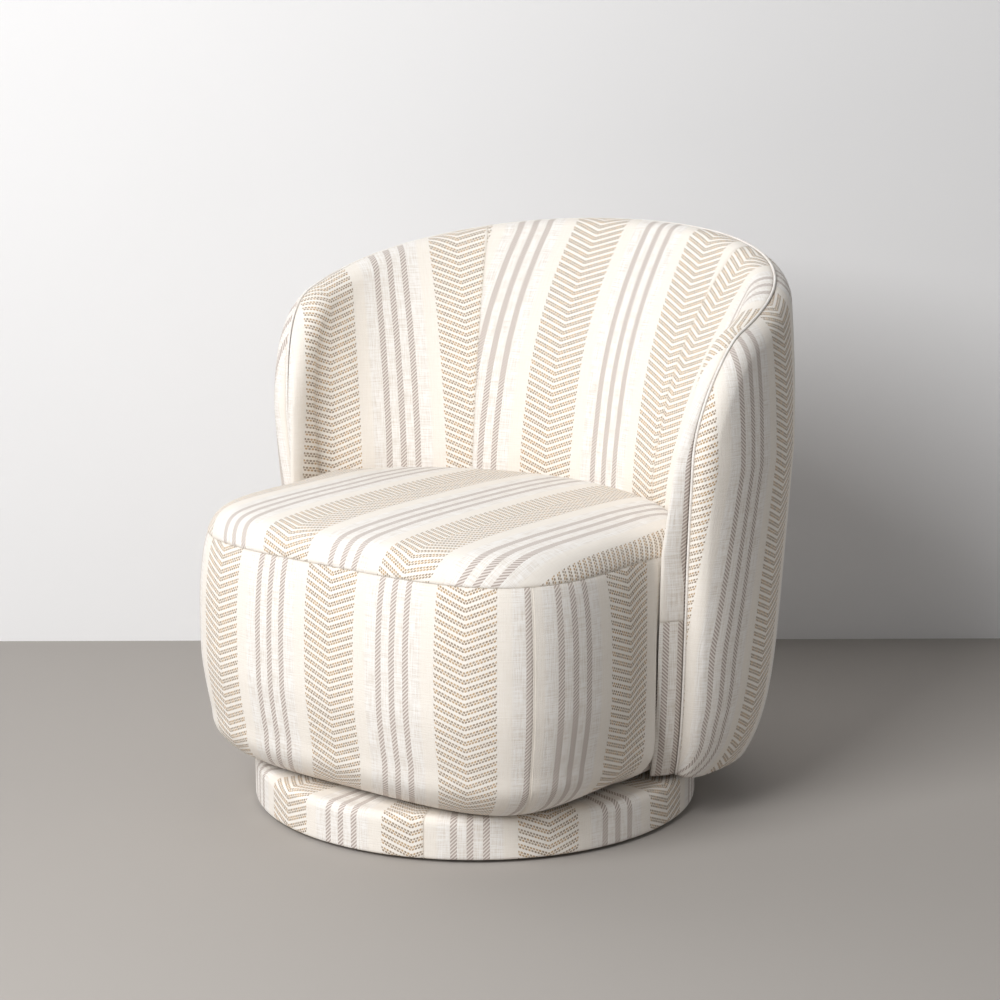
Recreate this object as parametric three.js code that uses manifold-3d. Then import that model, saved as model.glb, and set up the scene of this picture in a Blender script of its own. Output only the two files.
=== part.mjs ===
// Swivel barrel chair: upholstered shell and seat turning on a round covered plinth.
// Millimetres, +Z up. The chair faces -Y and its origin is the middle of its footprint on the floor.
import * as THREE from 'three';
import { mergeVertices } from 'three/addons/utils/BufferGeometryUtils.js';
import Module from 'manifold-3d';

const wasm = await Module();
wasm.setup();

// Plinth
const plinthRadius = 300;
const plinthTop = 60;
const plinthEdgeRound = 12;
const coverLift = 4.2;
const hoopThickness = 6;
const plinthPadThickness = 6.5;
const topPadThickness = 2.6;
const floorRingWidth = 62;
const floorRingBottom = 6;
const floorRingThickness = 14;
const topPanelThickness = 15;
const plinthTopFold = 95;
const plinthHemWidth = 32;
const plinthFootRound = 4;
const plinthPadReach = 38;
const dustLift = 4.8;
const panelCentreHole = 22;
const braceWidth = 34;
const braceEndGap = 9.5;
const braceCount = 3;
const glideInset = 38;
const glideCount = 4;
const glideRadius = 11;
const glideHeight = 3.6;
const glideStemRadius = 2.5;
const glideStemLength = 12;
const dustCloth = 0.6;

// Swivel
const plateSide = 280;
const plateCorner = 22;
const plateThickness = 2.5;
const ballRadius = 4;
const ballCount = 12;
const raceRadius = 104;
const raceHalfWidth = 5.4;
const raceLipWidth = 3;
const raceLipHeight = 2.2;
const cageHalfWidth = 8.2;
const cageThickness = 1.2;
const pinRadius = 9.7;
const pinHeadRadius = 17;
const pinHeadHeight = 3;
const pinHole = 10;
const washerRadius = 18;
const washerThickness = 0.8;
const plateScrewOffset = 118;
const plateScrewHole = 2.5;
const plateBoltOffset = 92;
const plateBoltHole = 3.3;

// Facets
const turnSteps = 36;
const smallTurnSteps = 16;
const plateHoleSides = 6;
const glideHoleSides = 8;
const glideSides = 12;
const ballSides = 6;
const ballRings = 4;
const wireSides = 4;
const tieWireSides = 6;
const planSteps = 1440;
const halvings = 50;
const wallLineSteps = 60;
const bandColumns = 22;
const boardColumns = 26;
const seatColumns = 32;
const ribRows = 5;
const springSearchSteps = 200;
const outlineStepShare = 0.002;
const mergeDistance = 1e-4;

// Fits between neighbouring pieces
const clearance = 0.3;
const ballClearance = 0.2;
const clothClearance = 0.4;
const softClearance = 2.8;
const ribClearance = 2;

// Shell of the back and arms, seen from above
const halfWidth = 390;
const shellCentreY = 88;
const backReach = 336;
const frontReach = 174;
const backPower = 2.05;
const frontPower = 2.65;
const armFrontY = -11.3;
const wall = 62;

// Shell, seen from the side
const bodyBottom = 66;
const backTop = 750;
const armTop = 618.6;
const rimPower = 2.13;
const cornerLength = 98;
const cornerDropShare = 1.3;
const bellyHeight = 486;
const skirtInset = 44.6;
const skirtShare = 0.6;
const skirtCurlPower = 8;
const topInset = 15.3;
const frontZone = 260;
const frontFlareShare = 0.2;
const armLean = 4.6;
const leanStart = 330;
const leanEnd = 600;
const seatLevel = 400;
const reclineDepth = 130;
const reclineJoinDegrees = 46;
const reclinePlanPower = 2.7;
const reclineFadeShare = 0.15;
const innerWallBottom = 330;
const armStripTop = 288;
const seamTopReach = 262;
const seamBottomReach = 300;
const rimSeamDegrees = 20;
const rimSeamRadius = 2.5;
const rimSeamSink = 0.5;
const rimSeamGap = 0.9;
const skirtTop = 300;

// Cloth, padding and boards, counted inward from a face of the shell
const cloth = 1.5;
const outerPadDepth = 6.6;
const outerBoardStart = 7.8;
const outerBoardDepth = 9.8;
const bandStart = 10.4;
const bandDepth = 24;
const ribStart = bandDepth + ribClearance;
const ribInnerCover = 23;
const ribThickness = 18;
const webStart = 19;
const webDepth = 20.4;
const webWidth = 50;
const webStagger = 0.5;
const webLevelShares = [0, 0.32, 0.64];
const sideRibShare = 0.9;
const ribTopDrop = 47;
const foamStart = 3.4;
const foamDepth = 15.5;
const hoopCentre = wall / 2;
const hoopHalf = 10;
const outerBoardTopShare = 0.9;
const braceBandTop = 350;

// Seat
const seatSideRoom = 89.2;
const seatHalfDepth = 249.7;
const seatBackReach = 330;
const seatPower = 3.62;
const seatCentreY = -50.3;
const seatSeamHeight = 371;
const seatCrown = 43;
const seatWidening = 15;
const wideningStart = -60;
const wideningEnd = 40;
const seatWallGap = 3;
const seatBlend = 7;
const bellyOut = 12;
const bellyFadeStart = -100;
const bellyFadeEnd = -14;
const bandEndY = -16;
const tuckDegrees = [-30, -50, -70, -90];
const tuckGap = 3.2;
const tuckBack = 18;
const tuckDraw = 8;
const seatFoamInset = 11;
const crownRoundPower = 26;
const crownDomePower = 3;
const crownRoundShare = 0.75;

// Seat frame
const boardThickness = 15;
const boardInset = 12;
const boardCornerIn = 20;
const boardCornerDepth = 36;
const boardCornerReach = 44.5;
const boardNotchIn = 170;
const boardNotchDepth = 84;
const boardClearance = 0.3;
const frameDustMargin = 1;
const coverFold = 22;
const frontPanelDepth = 11.6;
const frontPanelStart = 8;
const railTop = 305;
const railDepth = 50;
const railThickness = 22;
const frontRailEndY = -222;
const railSideRoom = 41.8;
const sideRailFrontY = -214;
const backRailOuterY = 150;
const postWidth = 44;
const postBackY = 82;
const postFrontY = -110;
const frontRibDepth = 60;
const frontRibShare = 0.86;
const cutOverrun = 44;
const springWire = 1.7;
const springHalfWidth = 21;
const springPitch = 52;
const springArch = 6;
const springSeatShare = 0.62;
const edgeRollShare = 0.3;
const springCount = 5;
const springSideRoom = 56;
const springEndBend = 6.8;
const clipWidth = 16;
const clipThickness = 1.5;
const tieWire = 1;
const insulatorThickness = 2.2;
const insulatorMargin = 5.5;

// Heights that follow from the sizes above
const topPanelTop = plinthTop - cloth - clothClearance - topPadThickness - clearance;
const topPanelBottom = topPanelTop - topPanelThickness;
const lowerPlateBottom = topPanelTop + clearance;
const lowerPlateTop = lowerPlateBottom + plateThickness;
const ballCentre = lowerPlateTop + ballRadius + ballClearance;
const upperPlateBottom = ballCentre + ballRadius + ballClearance;
const upperPlateTop = upperPlateBottom + plateThickness;
const boardBottom = upperPlateTop + boardClearance;
const boardTop = boardBottom + boardThickness;
const frameBottom = boardTop + clearance;
const rollRadius = wall / 2;
const plinthFoldRadius = plinthRadius - plinthTopFold;
const glideCircle = plinthRadius - glideInset;
const seatHalfWidth = halfWidth - seatSideRoom;
const sideRailOuterX = seatHalfWidth - railSideRoom;
const springSpacing = (sideRailOuterX - railThickness - springHalfWidth - springSideRoom) / 2;
const quarterTurn = Math.PI / 2;
const fullTurn = Math.PI * 2;
const straightDegrees = 90;
const rad = THREE.MathUtils.degToRad;

function smooth(t) {
  const c = Math.min(Math.max(t, 0), 1);
  return c * c * (3 - 2 * c);
}

function lerp(a, b, t) {
  return a + (b - a) * t;
}

function span(from, to, count) {
  return Array.from({ length: count + 1 }, (_, i) => lerp(from, to, i / count));
}

// Outline of the shell from above: arc length from the middle of the back, point and outward normal
function shellPlan() {
  const table = [];
  let run = 0;
  for (let i = 0; i <= planSteps; i++) {
    const angle = (Math.PI * i) / planSteps;
    const sine = Math.abs(Math.sin(angle));
    const cosine = Math.abs(Math.cos(angle));
    const front = Math.cos(angle) < 0;
    const reach = front ? frontReach : backReach;
    const power = front ? frontPower : backPower;
    const radius = ((sine / halfWidth) ** power + (cosine / reach) ** power) ** (-1 / power);
    const x = radius * Math.sin(angle);
    const y = shellCentreY + radius * Math.cos(angle);
    if (i > 0) run += Math.hypot(x - table[i - 1].x, y - table[i - 1].y);
    table.push({ run, x, y });
  }
  table.forEach((p, i) => {
    const a = table[Math.max(i - 1, 0)];
    const b = table[Math.min(i + 1, planSteps)];
    const length = Math.hypot(b.x - a.x, b.y - a.y);
    p.nx = -(b.y - a.y) / length;
    p.ny = (b.x - a.x) / length;
  });
  return table;
}

const plan = shellPlan();

function planAt(run) {
  let low = 0;
  let high = plan.length - 1;
  while (high - low > 1) {
    const middle = (low + high) >> 1;
    if (plan[middle].run > run) high = middle;
    else low = middle;
  }
  const a = plan[low];
  const b = plan[high];
  const t = Math.min(Math.max((run - a.run) / (b.run - a.run), 0), 1);
  return { x: lerp(a.x, b.x, t), y: lerp(a.y, b.y, t), nx: lerp(a.nx, b.nx, t), ny: lerp(a.ny, b.ny, t) };
}

function armEdgeRun() {
  const last = plan.findIndex((p, i) => i > plan.length / 2 && p.y < armFrontY);
  const a = plan[last - 1];
  const b = plan[last];
  return lerp(a.run, b.run, (armFrontY - a.y) / (b.y - a.y));
}

const edgeRun = armEdgeRun();
const cornerStart = edgeRun - cornerLength;

// Height of the rim without its rounded arm corners
function rimHeight(run) {
  return backTop - (backTop - armTop) * Math.min(Math.abs(run) / edgeRun, 1) ** rimPower;
}

const cornerHeight = armTop - cornerLength * cornerDropShare;

// How far the shell draws in below and above its widest height
function insetAt(z) {
  const low = Math.min(Math.max((bellyHeight - z) / (bellyHeight - bodyBottom), 0), 1);
  const high = Math.max((z - bellyHeight) / (backTop - bellyHeight), 0);
  return skirtInset * skirtShare * (low + low ** skirtCurlPower) + topInset * high ** 2;
}

function place(run, z, depth) {
  const side = Math.sign(run) || 1;
  const along = Math.abs(run);
  const front = smooth((along - (edgeRun - frontZone)) / frontZone);
  const p = planAt(along - armLean * smooth((z - leanStart) / (leanEnd - leanStart)) * front);
  const d = insetAt(z) * (1 + frontFlareShare * front) + depth;
  return new THREE.Vector3(side * (p.x - p.nx * d), p.y - p.ny * d, z);
}

// The inner face leans back most in the middle of the back, and not at the arm fronts
function leanShare(run) {
  const u = Math.min(Math.abs(run) / (edgeRun - rollRadius), 1);
  return (1 - u ** reclinePlanPower) * smooth((1 - u) / reclineFadeShare);
}

// The rolled rim ends at this angle from its crest, and the leaning face goes on from there
const joinDegrees = (run) => lerp(straightDegrees, reclineJoinDegrees, leanShare(run));
const joinDrop = (run) => rollRadius * (1 - Math.cos(rad(joinDegrees(run))));

// Thickness of the wall: it starts along the rim's slope and stands upright at the seat
function wallAt(run, z) {
  const lean = leanShare(run);
  if (lean === 0) return wall;
  const join = rad(joinDegrees(run));
  const first = rollRadius * (1 + Math.sin(join));
  const last = wall + reclineDepth * lean;
  const start = rimHeight(run) - joinDrop(run);
  const power = (start - seatLevel) / Math.tan(join) / (last - first);
  const t = Math.min(Math.max((start - z) / (start - seatLevel), 0), 1);
  return last - (last - first) * (1 - t) ** power;
}

// The rim's outline: t runs 0 to 1 along the top, to 2 round the arm corner, to 3 down the arm front
function outlineAt(t) {
  if (t <= 1) return { run: t * cornerStart, z: rimHeight(t * cornerStart) };
  if (t <= 2) {
    const angle = (t - 1) * quarterTurn;
    const run = edgeRun - cornerLength * (1 - Math.sin(angle));
    return { run, z: rimHeight(run) - cornerLength * cornerDropShare * (1 - Math.cos(angle)) };
  }
  return { run: edgeRun, z: lerp(cornerHeight, bodyBottom, t - 2) };
}

function outlineWithNormal(t) {
  const p = outlineAt(t);
  const a = outlineAt(Math.max(t - outlineStepShare, 0));
  const b = outlineAt(Math.min(t + outlineStepShare, 3));
  const length = Math.hypot(b.run - a.run, b.z - a.z);
  const straight = t === 0;
  return {
    run: p.run, z: p.z,
    inRun: straight ? 0 : (b.z - a.z) / length,
    inZ: straight ? -1 : -(b.run - a.run) / length,
  };
}

// A point of the rolled rim: degrees are counted from the crest, positive toward the outside
function rimPoint(t, side, degrees, depth) {
  const o = outlineWithNormal(t);
  const radius = rollRadius - depth;
  const inward = rollRadius - radius * Math.cos(rad(degrees));
  const through = rollRadius - radius * Math.sin(rad(degrees));
  return place(side * (o.run + o.inRun * inward), o.z + o.inZ * inward, through);
}

function railPoint(t, side, inward, through) {
  const o = outlineWithNormal(t);
  return place(side * (o.run + o.inRun * inward), o.z + o.inZ * inward, through);
}

const verticalShare = (z) => 2 + (cornerHeight - z) / (cornerHeight - bodyBottom);

// Front band of the seat: rounded rectangle from above, bellied and rolled under at the foot
const bandShares = [[1, 0], [0.95, 0.31], [0.8, 0.83], [0.57, 1], [0.44, 0.92], [0.34, 0.58], [0.23, 0.08],
  [0.11, -0.67], [0.045, -2.2], [0, -4.1]];

function bandOut(z) {
  const share = Math.min(Math.max((z - bodyBottom) / (seatSeamHeight - bodyBottom), 0), 1);
  for (let i = 1; i < bandShares.length; i++) {
    const [high, highOut] = bandShares[i - 1];
    const [low, lowOut] = bandShares[i];
    if (share >= low) return bellyOut * lerp(lowOut, highOut, (share - low) / (high - low));
  }
  return bellyOut * bandShares[bandShares.length - 1][1];
}

// angle 0 is the middle of the front, positive toward +X
function seatPlan(angle, out) {
  const sine = Math.sin(angle);
  const cosine = -Math.cos(angle);
  const reach = cosine > 0 ? seatBackReach : seatHalfDepth;
  const radius = (Math.abs(sine / seatHalfWidth) ** seatPower
    + Math.abs(cosine / reach) ** seatPower) ** (-1 / seatPower);
  const x = radius * sine;
  const y = radius * cosine;
  const gx = Math.sign(x) * Math.abs(x / seatHalfWidth) ** (seatPower - 1) / seatHalfWidth;
  const gy = Math.sign(y) * Math.abs(y / reach) ** (seatPower - 1) / reach;
  const length = Math.hypot(gx, gy);
  const widened = smooth((y + seatCentreY - wideningStart) / (wideningEnd - wideningStart));
  const wide = Math.sign(x) * seatWidening * widened;
  return new THREE.Vector2(x + wide + (gx / length) * out, y + seatCentreY + (gy / length) * out);
}

function angleAtY(y) {
  let low = 0;
  let high = Math.PI;
  for (let i = 0; i < halvings; i++) {
    const middle = (low + high) / 2;
    if (seatPlan(middle, 0).y < y) low = middle;
    else high = middle;
  }
  return low;
}

function bandPoint(angle, z, depth) {
  const y = seatPlan(angle, 0).y;
  const fade = 1 - smooth((y - bellyFadeStart) / (bellyFadeEnd - bellyFadeStart));
  const out = bandOut(z);
  const p = seatPlan(angle, (out > 0 ? out * fade : out) - depth);
  return new THREE.Vector3(p.x, p.y, z);
}

// The band's cover tucks in beside the arm: round the arm's front edge, then along its side
function tuckPoint(side, degrees, end, z, depth) {
  const edge = rimPoint(verticalShare(z), 1, degrees, 0);
  const off = rimPoint(verticalShare(z), 1, degrees, -tuckGap).sub(edge).setLength(tuckGap + depth);
  const beside = edge.add(off);
  if (end) beside.add(new THREE.Vector3(-tuckDraw, tuckBack, 0));
  const free = seatPlan(angleAtY(beside.y), Math.min(bandOut(z), 0) - depth);
  return new THREE.Vector3(side * Math.min(beside.x, free.x), beside.y, z);
}

// Edge of the seat from above: the band's curve in front, the inner wall behind, blended smoothly
function innerWallLine() {
  const reach = edgeRun - rollRadius;
  return span(-reach, reach, wallLineSteps).map((run) => place(run, seatLevel, wallAt(run, seatLevel)));
}

const innerWall = innerWallLine();

function distanceToWall(direction) {
  let nearest = Infinity;
  for (let i = 1; i < innerWall.length; i++) {
    const a = innerWall[i - 1];
    const b = innerWall[i];
    const ex = b.x - a.x;
    const ey = b.y - a.y;
    const ay = a.y - seatCentreY;
    const cross = direction.y * ex - direction.x * ey;
    const t = (ay * ex - a.x * ey) / cross;
    const u = (direction.x * ay - direction.y * a.x) / cross;
    if (t > 0 && u >= 0 && u <= 1) nearest = Math.min(nearest, t);
  }
  return nearest;
}

function seatEdge(angle) {
  const free = seatPlan(angle, 0);
  const own = Math.hypot(free.x, free.y - seatCentreY);
  const direction = new THREE.Vector2(free.x / own, (free.y - seatCentreY) / own);
  const limit = distanceToWall(direction) - seatWallGap;
  const least = Math.min(own, limit);
  const sum = Math.exp((least - own) / seatBlend) + Math.exp((least - limit) / seatBlend);
  return { direction, radius: least - seatBlend * Math.log(sum) };
}

function seatPoint(edge, share, depth) {
  const round = share ** crownRoundPower;
  const dome = share ** crownDomePower;
  const rise = seatCrown * (crownRoundShare * (1 - round) + (1 - crownRoundShare) * (1 - dome));
  const radius = edge.radius * share - depth * round;
  const z = seatSeamHeight + clearance + rise - depth * (1 - round);
  return new THREE.Vector3(edge.direction.x * radius, seatCentreY + edge.direction.y * radius, z);
}

function seatRing(edge, inset, z) {
  const radius = edge.radius - inset;
  return new THREE.Vector3(edge.direction.x * radius, seatCentreY + edge.direction.y * radius, z);
}

// Closed bodies
function body(points, faces) {
  let volume = 0;
  faces.forEach(([a, b, c]) => {
    volume += points[a].dot(new THREE.Vector3().crossVectors(points[b], points[c]));
  });
  const index = faces.flatMap(([a, b, c]) => (volume > 0 ? [a, b, c] : [a, c, b]));
  const geometry = new THREE.BufferGeometry().setFromPoints(points);
  geometry.setIndex(index);
  return geometry;
}

function closed(geometry) {
  geometry.deleteAttribute('normal');
  geometry.deleteAttribute('uv');
  const merged = mergeVertices(geometry, mergeDistance);
  const position = merged.getAttribute('position');
  const vertex = (_, i) => new THREE.Vector3().fromBufferAttribute(position, i);
  const points = Array.from({ length: position.count }, vertex);
  const index = Array.from(merged.getIndex().array);
  const faces = [];
  for (let i = 0; i < index.length; i += 3) {
    const [a, b, c] = index.slice(i, i + 3);
    if (a !== b && b !== c && c !== a) faces.push([a, b, c]);
  }
  return body(points, faces);
}

function toSolid(geometry) {
  const vertProperties = new Float32Array(geometry.getAttribute('position').array);
  const triVerts = new Uint32Array(geometry.getIndex().array);
  return new wasm.Manifold(new wasm.Mesh({ numProp: 3, vertProperties, triVerts }));
}

function fromSolid(solid) {
  const mesh = solid.getMesh();
  const geometry = new THREE.BufferGeometry();
  geometry.setAttribute('position', new THREE.BufferAttribute(mesh.vertProperties, 3));
  geometry.setIndex(new THREE.BufferAttribute(mesh.triVerts, 1));
  return geometry;
}

function cut(geometry, tools) {
  return fromSolid(tools.reduce((solid, tool) => solid.subtract(toSolid(tool)), toSolid(geometry)));
}

function join(parts) {
  return fromSolid(parts.map(toSolid).reduce((all, part) => all.add(part)));
}

// A sheet is a net of nodes, each of which gives its point at a depth below the sheet's face
function sheet(blocks, faceDepth, backDepth) {
  const numbers = new Map();
  const number = (node) => {
    if (!numbers.has(node)) numbers.set(node, numbers.size);
    return numbers.get(node);
  };
  const faces = [];
  blocks.forEach((rows) => {
    for (let i = 1; i < rows.length; i++) {
      for (let j = 1; j < rows[i].length; j++) {
        const [a, b, c, d] = [rows[i - 1][j - 1], rows[i - 1][j], rows[i][j], rows[i][j - 1]].map(number);
        if (a !== b && b !== c) faces.push([a, b, c]);
        if (a !== d && d !== c) faces.push([a, c, d]);
      }
    }
  });
  const nodes = [...numbers.keys()];
  const count = nodes.length;
  const points = [...nodes.map((node) => node(faceDepth)), ...nodes.map((node) => node(backDepth))];
  const edges = new Map();
  faces.forEach(([a, b, c]) => [[a, b], [b, c], [c, a]].forEach(([p, q]) => {
    if (edges.has(`${q},${p}`)) edges.delete(`${q},${p}`);
    else edges.set(`${p},${q}`, [p, q]);
  }));
  const all = [...faces, ...faces.map(([a, b, c]) => [a + count, c + count, b + count])];
  edges.forEach(([p, q]) => all.push([q, p, p + count], [q, p + count, q + count]));
  return body(points, all);
}

const grid = (rows, columns, node) => rows.map((r) => columns.map((c) => node(r, c)));

function ringed(rows) {
  return rows.map((row) => [...row, row[0]]);
}

function block(from, to) {
  const size = new THREE.Vector3().subVectors(to, from);
  const middle = new THREE.Vector3().addVectors(from, to).divideScalar(2);
  return closed(new THREE.BoxGeometry(size.x, size.y, size.z).translate(middle.x, middle.y, middle.z));
}

const at = (x, y, z) => new THREE.Vector3(x, y, z);

function turned(profile, segments) {
  const points = profile.map(([radius, z]) => new THREE.Vector2(radius, z));
  return closed(new THREE.LatheGeometry([...points, points[0]], segments).rotateX(quarterTurn));
}

function flat(shape, bottom, thickness) {
  const options = { depth: thickness, bevelEnabled: false, curveSegments: wireSides };
  return closed(new THREE.ExtrudeGeometry(shape, options).translate(0, 0, bottom));
}

function circlePath(x, y, radius, segments) {
  return new THREE.Path(span(0, fullTurn, segments).slice(0, -1)
    .map((a) => new THREE.Vector2(x + radius * Math.cos(a), y + radius * Math.sin(a))));
}

function discShape(radius, segments, holes) {
  const shape = new THREE.Shape(circlePath(0, 0, radius, segments).getPoints());
  shape.holes = holes;
  return shape;
}

function circlePlaces(radius, count, turn) {
  return span(0, fullTurn, count).slice(0, -1)
    .map((a) => [radius * Math.cos(a + turn), radius * Math.sin(a + turn)]);
}

const corners = (offset) => [[1, 1], [-1, 1], [-1, -1], [1, -1]].map(([x, y]) => [x * offset, y * offset]);

// A solid bar through rings of points, closed by a flat face at each end
function barThrough(rings) {
  const sides = rings[0].length;
  const faces = [];
  for (let i = 1; i < rings.length; i++) {
    for (let j = 0; j < sides; j++) {
      const next = (j + 1) % sides;
      const [a, b, c, d] = [(i - 1) * sides + j, (i - 1) * sides + next, i * sides + next, i * sides + j];
      faces.push([a, b, c], [a, c, d]);
    }
  }
  const last = (rings.length - 1) * sides;
  for (let j = 1; j < sides - 1; j++) faces.push([0, j + 1, j], [last, last + j, last + j + 1]);
  return body(rings.flat(), faces);
}

// A round wire through points; each point also has a direction across the wire
function wire(points, acrosses, radius, sides) {
  const rings = points.map((point, i) => {
    const before = points[Math.max(i - 1, 0)];
    const after = points[Math.min(i + 1, points.length - 1)];
    const along = new THREE.Vector3().subVectors(after, before).normalize();
    const across = acrosses[i].clone().addScaledVector(along, -acrosses[i].dot(along)).normalize();
    const third = new THREE.Vector3().crossVectors(along, across);
    return span(0, fullTurn, sides).slice(0, -1).map((a) => point.clone()
      .addScaledVector(across, radius * Math.cos(a)).addScaledVector(third, radius * Math.sin(a)));
  });
  return barThrough(rings);
}

// Plinth
const hoopOuter = plinthRadius - cloth - clothClearance - plinthPadThickness - clearance;
const hoopInner = hoopOuter - hoopThickness;
const discRadius = hoopInner - clearance;
const ringTop = floorRingBottom + floorRingThickness;

function floorRing() {
  const holes = circlePlaces(glideCircle, glideCount, quarterTurn / 2)
    .map(([x, y]) => circlePath(x, y, glideStemRadius + clothClearance, glideHoleSides));
  const middle = circlePath(0, 0, discRadius - floorRingWidth, turnSteps);
  return flat(discShape(discRadius, turnSteps, [middle, ...holes]), floorRingBottom, floorRingThickness);
}

function plinthHoop() {
  return turned([[hoopInner, floorRingBottom], [hoopOuter, floorRingBottom], [hoopOuter, topPanelTop],
    [hoopInner, topPanelTop]], turnSteps);
}

function topPanel() {
  const holes = corners(plateScrewOffset).map(([x, y]) => circlePath(x, y, plateScrewHole, plateHoleSides));
  const middle = circlePath(0, 0, panelCentreHole, smallTurnSteps);
  return flat(discShape(discRadius, turnSteps, [middle, ...holes]), topPanelBottom, topPanelThickness);
}

function plinthBrace() {
  return join(span(0, Math.PI, braceCount).slice(0, -1).map((angle) => block(
    at(braceEndGap - discRadius, -braceWidth / 2, ringTop + clearance),
    at(discRadius - braceEndGap, braceWidth / 2, topPanelBottom - clearance),
  ).rotateZ(angle)));
}

function edgeArc(radius, top, round, steps) {
  return span(0, quarterTurn, steps)
    .map((a) => [radius - round * (1 - Math.cos(a)), top - round * (1 - Math.sin(a))]);
}

function plinthPadding() {
  const outer = plinthRadius - cloth - clothClearance;
  const top = plinthTop - cloth - clothClearance;
  const reach = discRadius - plinthPadReach;
  const bottom = coverLift + cloth + plinthFootRound + clearance;
  return turned([[hoopOuter + clearance, bottom], [outer, bottom],
    ...edgeArc(outer, top, plinthEdgeRound - cloth, 2), [reach, top], [reach, top - topPadThickness],
    [hoopOuter + clearance, top - topPadThickness]], turnSteps);
}

function plinthCover() {
  const hem = plinthRadius - plinthHemWidth;
  const foot = (radius, bottom) => [[hem, bottom], [radius - plinthFootRound, bottom],
    [radius, bottom + plinthFootRound]];
  const inner = plinthRadius - cloth;
  return turned([
    ...foot(plinthRadius, coverLift),
    ...edgeArc(plinthRadius, plinthTop, plinthEdgeRound, 2),
    [plinthFoldRadius, plinthTop], [plinthFoldRadius, plinthTop - cloth],
    ...edgeArc(inner, plinthTop - cloth, plinthEdgeRound - cloth, 2).reverse(),
    ...foot(inner, coverLift + cloth).reverse(),
  ], turnSteps);
}

function plinthDustCover() {
  const holes = circlePlaces(glideCircle, glideCount, quarterTurn / 2)
    .map(([x, y]) => circlePath(x, y, glideStemRadius + clothClearance, glideHoleSides));
  return flat(discShape(plinthRadius - plinthHemWidth - clearance, turnSteps, holes), dustLift, dustCloth);
}

function floorGlide([x, y]) {
  const top = glideHeight + glideStemLength;
  return turned([[0, 0], [glideRadius, 0], [glideRadius, glideHeight], [glideStemRadius, glideHeight],
    [glideStemRadius, top], [0, top]], glideSides).translate(x, y, 0);
}

// Swivel
function plateOutline(holes) {
  const half = plateSide / 2;
  const shape = new THREE.Shape();
  corners(half - plateCorner).forEach(([x, y], i) => {
    shape.absarc(x, y, plateCorner, quarterTurn * i, quarterTurn * (i + 1), false);
  });
  shape.holes = [circlePath(0, 0, pinHole, smallTurnSteps), ...holes];
  return shape;
}

// The race: two low lips that keep the balls on their circle
function raceLips(face, rise) {
  return [raceRadius - raceHalfWidth - raceLipWidth, raceRadius + raceHalfWidth].map((inner) => turned([
    [inner, face], [inner + raceLipWidth, face], [inner + raceLipWidth, face + rise], [inner, face + rise],
  ], smallTurnSteps));
}

function swivelLowerPlate() {
  const holes = corners(plateScrewOffset).map(([x, y]) => circlePath(x, y, plateScrewHole, plateHoleSides));
  const plate = flat(plateOutline(holes), lowerPlateBottom, plateThickness);
  const middle = lowerPlateTop - plateThickness / 2;
  return join([plate, ...raceLips(middle, plateThickness / 2 + raceLipHeight)]);
}

function swivelUpperPlate() {
  const holes = corners(plateBoltOffset).map(([x, y]) => circlePath(x, y, plateBoltHole, plateHoleSides));
  const plate = flat(plateOutline(holes), upperPlateBottom, plateThickness);
  const middle = upperPlateBottom + plateThickness / 2;
  return join([plate, ...raceLips(middle, -plateThickness / 2 - raceLipHeight)]);
}

function swivelPin() {
  const bottom = lowerPlateBottom - clearance;
  const top = upperPlateTop + washerThickness + clearance * 2;
  const foot = bottom - pinHeadHeight;
  return turned([[0, foot], [pinHeadRadius, foot], [pinHeadRadius, bottom],
    [pinRadius, bottom], [pinRadius, top], [pinHeadRadius, top], [pinHeadRadius, top + pinHeadHeight],
    [0, top + pinHeadHeight]], smallTurnSteps);
}

function pinWasher() {
  const bottom = upperPlateTop + clearance;
  return turned([[pinHole, bottom], [washerRadius, bottom], [washerRadius, bottom + washerThickness],
    [pinHole, bottom + washerThickness]], smallTurnSteps);
}

// The balls are snapped into the cage and travel with it
function ballCage() {
  const inner = raceRadius - cageHalfWidth;
  const outer = raceRadius + cageHalfWidth;
  const low = ballCentre - cageThickness / 2;
  const high = ballCentre + cageThickness / 2;
  const ring = turned([[inner, low], [outer, low], [outer, high], [inner, high]], ballCount * 2);
  const balls = circlePlaces(raceRadius, ballCount, 0).map(([x, y]) => closed(
    new THREE.SphereGeometry(ballRadius, ballSides, ballRings).rotateX(quarterTurn)
      .translate(x, y, ballCentre),
  ));
  return join([ring, ...balls]);
}

// Seat frame
const bandEndAngle = angleAtY(bandEndY);
const bandAngles = span(-bandEndAngle, bandEndAngle, bandColumns);
const tuckSteps = [...tuckDegrees.map((degrees) => [degrees, false]), [tuckDegrees.at(-1), true]];
const tucked = (side) => tuckSteps.map(([degrees, end]) => (
  (z, depth) => tuckPoint(side, degrees, end, z, depth)));
const coverColumns = [...tucked(-1).reverse(),
  ...bandAngles.map((angle) => (z, depth) => bandPoint(angle, z, depth)), ...tucked(1)];
const anglesWithin = (reach) => bandAngles.filter((angle) => Math.abs(angle) <= reach);

// The board fills the shell, steps in behind each arm front and then follows the front band
function boardLoop(z) {
  const armEnd = (side) => [[boardCornerReach, boardInset], [boardCornerIn, boardInset],
    [boardCornerIn, boardCornerDepth], [boardNotchIn, boardCornerDepth], [boardNotchIn, boardNotchDepth]]
    .map(([inward, depth]) => place(side * (edgeRun - inward), z, depth));
  const reach = edgeRun - boardNotchIn;
  const shellPart = span(-reach, reach, boardColumns).map((run) => place(run, z, boardInset));
  const frontPart = [...coverColumns].reverse().map((column) => column(z, boardInset));
  const loop = [...armEnd(-1).reverse(), ...shellPart, ...armEnd(1), ...frontPart];
  return loop.map((p) => new THREE.Vector2(p.x, p.y));
}

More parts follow.
